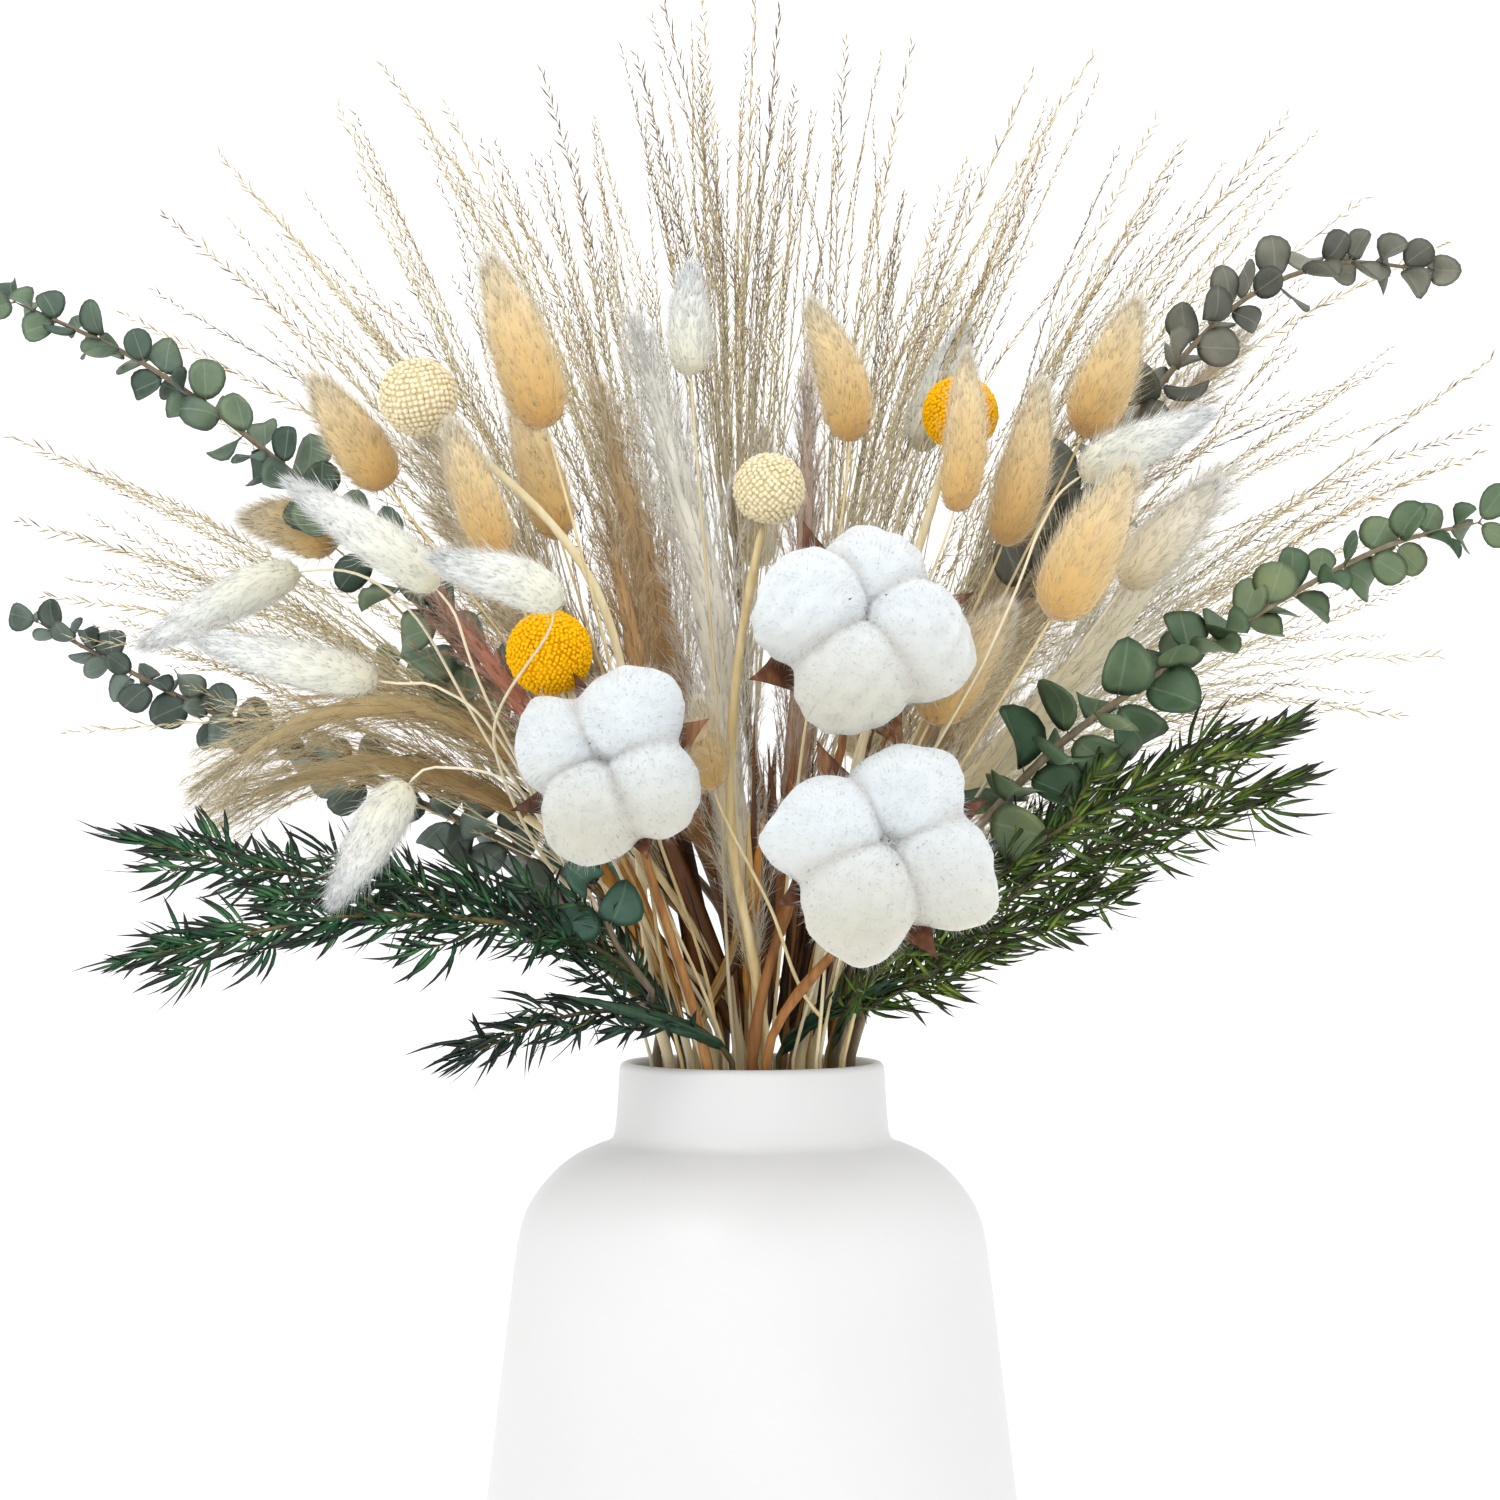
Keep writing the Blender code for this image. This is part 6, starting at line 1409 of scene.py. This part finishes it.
# Straw and wood: how much each strand has a colour of its own, then the colours and where they lie
STRAWS = {
    "bract": (0.3, (0.25, "3b2014"), (0.55, "6b4128"), (0.8, "a07650")),
    "wood": (0.3, (0.25, "70431a"), (0.5, "9c6830"), (0.8, "c4985c")),
    "culm": (0.6, (0.2, "6a4722"), (0.5, "9a7440"), (0.8, "c0a066")),
    "fern_blade": (0.5, (0.2, "10231a"), (0.5, "1e3d2b"), (0.8, "3a5a36")),
    "straw_pale": (0.3, (0.2, "cdbc92"), (0.5, "e0d4b4"), (0.8, "ece4cf")),
    "straw": (0.3, (0.2, "c2a66e"), (0.5, "e0cfa0"), (0.8, "ede3c6")),
    "blade": (0.72, (0.18, "3a2412"), (0.36, "70451f"), (0.52, "a06028"), (0.66, "c2903e"),
              (0.85, "ccb27c")),
    "fern_stem": (0.3, (0.3, "3f3a22"), (0.7, "6a6236"))}
EUCALYPTUS_STEM = (0.3, (0.25, "57493a"), (0.6, "7d7058"), (0.9, "9c917a"))


def straw_finish(name, own, *stops):
    """Straw and wood: long fibres along the stem, with a little colour of its own to each."""
    finish = Finish(name, Roughness=0.5, Specular_IOR_Level=0.4)
    grain = finish.noise(scale=420.0, detail=4.0, stretch=(1.0, 1.0, 0.06))
    return finish.done(finish.ramp(finish.blend(grain, own), *stops), grain, strength=0.4)


# Round leaves: the colours of their rib and their edge, then those of the blotched blade and where they lie
LEAVES = {
    "eucalyptus_pale": ("a9b7a4", "4e5d4f", (0.25, "3c4f43"), (0.48, "55685a"), (0.66, "6f8268"),
                        (0.85, "98a680")),
    "eucalyptus_slate": ("a0aca0", "3a423c", (0.25, "39463f"), (0.5, "56655c"), (0.78, "7d8d80")),
    "eucalyptus_dark": ("7d9482", "1c3324", (0.25, "15332a"), (0.5, "24493a"), (0.78, "476656")),
    "eucalyptus_green": ("98a68c", "445035", (0.25, "345239"), (0.5, "566c50"), (0.7, "71805c"),
                         (0.85, "8c9455")),
    "eucalyptus_grey": ("aeaa98", "5f5648", (0.25, "4c5048"), (0.5, "68695d"), (0.78, "8d8b7b"))}
LEAF_OWN = 0.4
SIDE_VEINS = 95.0             # how closely the side veins stand
VEIN_SHARE = 0.28
EDGE_SHARE = 0.5


def leaf_finish(name, rib, edge, *stops):
    """A leathery leaf: blotched by noise, with a pale midrib, fine side veins and a darker edge."""
    finish = Finish(name, Roughness=0.55, Specular_IOR_Level=0.35)
    colour = finish.ramp(finish.blend(finish.noise(scale=55.0, detail=5.0), LEAF_OWN), *stops)
    aside = finish.maths("ABSOLUTE", finish.maths("SUBTRACT", finish.along, 0.5))
    line = finish.falling(aside, 0.0, 0.035)
    slant = finish.maths("SUBTRACT", finish.share, aside)
    veins = finish.maths("SINE", finish.maths("MULTIPLY", slant, SIDE_VEINS))
    lines = finish.mix(1.0, line, finish.ramp(veins, (0.86, "000000"), (1.0, "666666")), "ADD")
    colour = finish.tinted(colour, lines, VEIN_SHARE, rib)
    colour = finish.tinted(colour, finish.rising(aside, 0.38, 0.5), EDGE_SHARE, edge)
    return finish.done(colour, finish.maths("ADD", lines, finish.noise(scale=700.0)), strength=0.35)


# Needles: the colours of the darkest, middle and lightest ones, and of their dry points
NEEDLES = {"fern": ("1c3a27", "2a5c3b", "487a4a", "191d18"),
           "fern_dark": ("16261e", "22402f", "3a5a45", "15191a"),
           "fern_bright": ("324c1e", "507628", "869a3e", "28291a")}


def needle_finish(name, dark, middle, light, tip):
    """Needle leaves, varied from leaf to leaf, with dark dry points."""
    finish = Finish(name, Roughness=0.5, Specular_IOR_Level=0.35)
    colour = finish.ramp(finish.luck, (0.0, dark), (0.5, middle), (1.0, light))
    colour = finish.mix(finish.rising(finish.share, 0.3, 0.75), colour, tint(tip))
    return finish.done(colour, finish.noise(scale=800.0), strength=0.2)


def lint_finish():
    """Cotton: bluish white, with painted shade that darkens it towards the bottom and greys it in the
    creases between its locks.
    """
    finish = Finish("lint", Roughness=0.95, Specular_IOR_Level=0.1, Sheen_Weight=0.3, Subsurface_Weight=0.8,
                    Subsurface_Radius=(1.0, 0.95, 0.9), Subsurface_Scale=0.005)
    colour = finish.ramp(finish.noise(scale=90.0, detail=6.0), (0.3, "cbd1d4"), (0.6, "d2d8db"))
    # Painted shade: darker and warmer towards the boll's bottom
    colour = finish.tinted(colour, finish.falling(finish.luck, 0.12, 0.62), 0.8, "bfbbaa")
    # Painted shade: greyer in the creases between the locks
    colour = finish.tinted(colour, finish.rising(finish.along, 0.72, 0.98), 0.4, "b4aca2")
    return finish.done(colour, finish.noise(scale=1500.0), distance=0.0005)


def reed_finish():
    """Wispy grass: each wisp has its own colour between dark grey, brown, tan and cream, paler low down:
    partly its own pale colour, partly painted light.
    """
    finish = Finish("reed", Roughness=0.7, Specular_IOR_Level=0.25, Subsurface_Weight=0.5,
                    Subsurface_Radius=(1.0, 0.9, 0.7), Subsurface_Scale=0.0008)
    colour = finish.ramp(finish.luck, (0.0, "55514a"), (0.22, "857e6e"), (0.42, "b29d74"), (0.66, "d3c08c"),
                         (0.9, "e8e0c2"))
    # Paler low on each wisp: partly the grass's own pale colour, partly painted light that lifts the shade
    # of the dense low mass
    colour = finish.tinted(colour, finish.falling(finish.along, 0.15, 0.75), 0.85, "e4dcc2")
    colour = finish.tinted(colour, finish.rising(finish.along, 0.5, 1.0), 0.4, "86694e")
    return finish.done(finish.tinted(colour, finish.falling(finish.share, 0.0, 0.3), 0.12, "8a7448"))


def make_finishes():
    """Every finish of the plants, by its name."""
    makers = ((fibre, FIBRES), (ball_finish, BALLS), (core_finish, CORES), (straw_finish, STRAWS),
              (leaf_finish, LEAVES), (needle_finish, NEEDLES))
    finishes = {name: maker(name, *row) for maker, rows in makers for name, row in rows.items()}
    for name in LEAVES:
        finishes[name + "_stem"] = straw_finish(name + "_stem", *EUCALYPTUS_STEM)
    return {**finishes, "lint": lint_finish(), "reed": reed_finish()}


# The vase

VASE_COLUMNS = 128
OUTSIDE_ROWS = 80
OUTSIDE_START = 3             # the first of the outside's points that is drawn as a smooth curve
SOFTENING = 10                # how many times the shoulder's rows are evened with their neighbours
LIP_LEVEL = VASE_HEIGHT - VASE_WALL / 2
LIP_ARC = np.radians(np.linspace(15.0, 165.0, 8))
# The foot from its middle, and the way from the lip down the inside, as (radius, height)
VASE_FOOT = ((0.0, 0.0), (FOOT_RADIUS - 6.0, 0.0), (FOOT_RADIUS, 0.2), *VASE_OUTSIDE[1:OUTSIDE_START])
VASE_INSIDE = ((BORE_RADIUS, LIP_LEVEL - 1.0), (BORE_RADIUS, NECK_FOOT[1] - 3.5), (58.0, 182.0),
               (74.0, 168.0), (79.6, 152.0), (96.0, FLOOR + 8.0), (FOOT_RADIUS - 2.0, FLOOR), (0.0, FLOOR))


def vase_profile():
    """The vase's section from its foot's middle, up the outside, over the lip and down the inside."""
    outside = Curve([(radius, 0.0, height) for radius, height in VASE_OUTSIDE[OUTSIDE_START:]])
    outside = outside.at(np.linspace(0.0, outside.length, OUTSIDE_ROWS))[:, (0, 2)]
    share = 0.5 * (outside[1:-1, 1:] < NECK_FOOT[1] - NECK_WALL_RUN)
    for _ in range(SOFTENING):
        outside[1:-1] = (1.0 - share) * outside[1:-1] + 0.5 * share * (outside[:-2] + outside[2:])
    round_lip = VASE_WALL / 2
    middle = LIP_RADIUS - round_lip
    lip = np.stack((middle + round_lip * np.cos(LIP_ARC), LIP_LEVEL + round_lip * np.sin(LIP_ARC)), axis=-1)
    return np.vstack((VASE_FOOT, outside, lip, VASE_INSIDE))


def make_vase():
    """The finely turned vase, a smooth glaze over fired clay."""
    mass = Mass(np.random.default_rng(SEED))
    profile = vase_profile()
    turn = TURN * np.arange(VASE_COLUMNS) / VASE_COLUMNS
    rows = profile[1:-1]
    ring = np.stack((rows[:, :1] * np.cos(turn), rows[:, :1] * np.sin(turn),
                     np.repeat(rows[:, 1:], VASE_COLUMNS, axis=1)), axis=-1)
    points = np.vstack(((0.0, 0.0, profile[0][1]), ring.reshape(-1, 3), (0.0, 0.0, profile[-1][1])))
    faces = ring_faces(VASE_COLUMNS, len(points) - 1)[:, ::-1]
    mass.add(points, faces, np.full(points.shape, 0.5), "glaze")
    finish = Finish("glaze", Roughness=0.42, Specular_IOR_Level=0.5)
    colour = finish.ramp(finish.noise(scale=14.0, detail=4.0), (0.3, "d3d3d3"), (0.7, "d6d6d6"))
    glaze = finish.done(colour, finish.noise(scale=90.0), strength=0.03)
    mass.piece("vase_turned", "vase_ceramic", ["vase"], {"glaze": glaze})


# The whole bouquet

# Each plume's finish, how slender it is, and how many sizes its hairs reach down its stem
PLUMES = {"plume_white": ("plume_white", 1.3, 4.5), "plume_cream_right": ("plume_cream", 1.3, 2.4),
          "plume_rust_left": ("plume_rust", 1.5, 1.2), "plume_rose": ("plume_rose", 1.4, 5.0),
          "plume_brown_left": ("plume_brown", 1.4, 5.0), "plume_tan_left": ("plume_tan", 1.2, 2.6),
          "plume_drooping_left": ("plume_mane", 1.9, 1.2), "plume_beige_left": ("plume_beige", 1.15, 1.6),
          "plume_beige_right": ("plume_beige", 1.15, 2.4), "plume_back_left": ("plume_beige", 1.1, 2.4),
          "plume_back_right": ("plume_beige", 1.1, 2.4)}
CREAM_FORKS = ("tail_tan_inner_right", "tail_tan_back_right")    # tan stems whose second tail is cream
FERN_FINISH = {"fern_left_rim": "fern_dark", "fern_right": "fern_bright", "fern_right_rim": "fern_bright"}
LEAF_FINISH = {"eucalyptus_left_low": "eucalyptus_slate", "eucalyptus_left_high": "eucalyptus_pale",
               "eucalyptus_right_low": "eucalyptus_green", "eucalyptus_right_high": "eucalyptus_grey",
               "eucalyptus_back": "eucalyptus_green"}
DARK_LEAF = 1.5               # how much larger the dark leaves low on a second shoot are
TAIL_STEM_PAST = 2.0          # how far a tail's stem runs into it
BALL_STEM_END = 0.8           # a ball's stem ends this many sizes before the ball's middle


def record_slot(node):
    """The record's material slot of a node."""
    return next(part["material_slot"] for part in frame["record"]["subparts"] if part["node"] == node)


def grow_shoot(mass, name, kind, size, foot, shoot):
    """One shoot of a tail, plume, eucalyptus, fern or reed. Only a plant's first shoot has a foot."""
    first = foot is not None
    end = shoot.curve.length
    if kind == "tail":
        finish = "tail_white" if "white" in name else "tail_tan"
        if name in CREAM_FORKS and not first:
            finish = "tail_cream"
        straw = "straw" if finish == "tail_tan" else "straw_pale"
        add_stem(mass, kind, foot, shoot, straw, high=shoot.head_start + TAIL_STEM_PAST, sides=6, step=4.5)
        grow_tail(mass, shoot, size, finish)
    elif kind == "plume":
        add_stem(mass, kind, foot, shoot, "straw")
        grow_plume(mass, shoot, size, *PLUMES[name])
    elif kind == "eucalyptus":
        add_stem(mass, kind, foot, shoot, "eucalyptus_green_stem", high=end)
        leaves = (size, LEAF_FINISH[name]) if first else (DARK_LEAF * size, "eucalyptus_dark")
        grow_eucalyptus(mass, shoot, *leaves)
    elif kind == "fern":
        add_stem(mass, kind, foot, shoot, "fern_stem", high=end)
        grow_fern(mass, shoot, size, FERN_FINISH.get(name, "fern"))
    elif kind == "reed":
        grow_reed(mass, foot, shoot, *size)
    if first:
        for blades in BLADES.get(kind, ()):
            add_blades(mass, shoot.curve, *blades)


def grow_plant(number, name, kind, size, foot, shoots, finishes):
    """All pieces of one plant; a yellow ball and a boll's lint are pieces of their own."""
    mass = Mass(np.random.default_rng([SEED, number]))
    other = Mass(np.random.default_rng([SEED, number, 1]))
    shoot = shoots[0]
    nodes = [name]
    if kind == "craspedia":
        end = shoot.curve.length
        yellow = "yellow" in name
        add_stem(mass, kind, foot, shoot, "straw", high=end - size * BALL_STEM_END)
        finish = "craspedia_yellow" if yellow else "craspedia_cream"
        grow_ball(other if yellow else mass, shoot.curve.at(end), shoot.curve.heading(end), size, finish)
        if yellow:
            other.piece(name + "_florets", record_slot(name), [name], finishes)
            nodes = [name + "_stem"]
    elif kind == "cotton":
        grow_lint(mass, shoot, size)
        mass.piece(name + "_locks", record_slot(name + "_lint"), [name + "_lint"], finishes)
        mass = other
        grow_bur(mass, foot, shoot, size)
        nodes = [name + "_bur"]
    else:
        for branch in shoots:
            grow_shoot(mass, name, kind, size, foot if branch is shoot else None, branch)
    mass.piece(name + "_grown", record_slot(nodes[0]), nodes, finishes)


def grow_bouquet():
    """Finds room for every plant in the tables' order, and then grows each one."""
    bouquet = Bouquet()
    plants = [(*plant[:3], bouquet.place(*plant)) for plant in PLANTS]
    for name, crown, tips in REEDS:
        others = [tip for other, _, found in REEDS if other != name for tip in found]
        neighbour = min(others, key=lambda tip: math.dist(tip, tips[-1]))
        plants.append((name, "reed", (tips, neighbour), bouquet.place(name, "reed", 0.0, [([], [crown])])))
    finishes = make_finishes()
    for number, (name, kind, size, (foot, shoots)) in enumerate(plants):
        grow_plant(number, name, kind, size, foot, shoots, finishes)


# Camera, light and floor

SENSOR_WIDTH = 36.0
WORLD_LIGHT = 1.2
# Each lamp: its place and what it faces, in metres, its size and its power
LAMPS = {"key": ((-0.9, -1.5, 1.7), (0.0, 0.0, 0.35), 0.9, 8.0),
         "front": ((0.3, -2.2, 0.3), (0.0, 0.0, 0.3), 1.2, 3.0),
         "top": ((0.5, -0.3, 1.9), (0.0, 0.0, 0.35), 1.0, 4.0)}
FLOOR_REACH = 60.0            # in metres


def add_light(name, place, target, size, power):
    """A round soft lamp at a place, turned to a target."""
    lamp = bpy.data.lights.new(name, "AREA")
    lamp.shape = "DISK"
    lamp.size = size
    lamp.energy = power
    light = bpy.data.objects.new(name, lamp)
    way = np.array(target) - np.array(place)
    level = math.hypot(way[0], way[1])
    light.location = place
    light.rotation_euler = (math.pi / 2 + math.atan2(way[2], level), 0.0, math.atan2(-way[0], way[1]))
    bpy.context.scene.collection.objects.link(light)


def make_studio():
    """The camera at the photo's angle, the soft lights and the pale floor."""
    scene = bpy.context.scene
    lens = bpy.data.cameras.new("camera")
    lens.sensor_width = SENSOR_WIDTH
    lens.lens = SENSOR_WIDTH * EYE_DISTANCE / FRAME_WIDTH
    camera = bpy.data.objects.new("camera", lens)
    camera.location = (EYE_SIDE * MM, -EYE_DISTANCE * MM, EYE_HEIGHT * MM)
    camera.rotation_euler = (math.pi / 2, 0.0, 0.0)
    scene.collection.objects.link(camera)
    scene.camera = camera
    world = bpy.data.worlds.new("studio")
    scene.world = world
    world.use_nodes = True
    backdrop = world.node_tree.nodes["Background"]
    backdrop.inputs["Color"].default_value = (1.0, 1.0, 1.0, 1.0)
    backdrop.inputs["Strength"].default_value = WORLD_LIGHT
    scene.view_settings.view_transform = "Standard"
    for name, lamp in LAMPS.items():
        add_light(name, *lamp)
    mesh = bpy.data.meshes.new("floor")
    corners = [(x * FLOOR_REACH, y * FLOOR_REACH, 0.0) for x, y in ((-1, -1), (1, -1), (1, 1), (-1, 1))]
    mesh.from_pydata(corners, [], [(0, 1, 2, 3)])
    floor = bpy.data.objects.new("floor", mesh)
    finish = Finish("floor", Roughness=1.0, Specular_IOR_Level=0.0)
    colour = finish.ramp(finish.noise(scale=1.5), (0.3, "fcfcfc"), (0.7, "ffffff"))
    mesh.materials.append(finish.done(colour))
    scene.collection.objects.link(floor)


make_studio()
make_vase()
grow_bouquet()
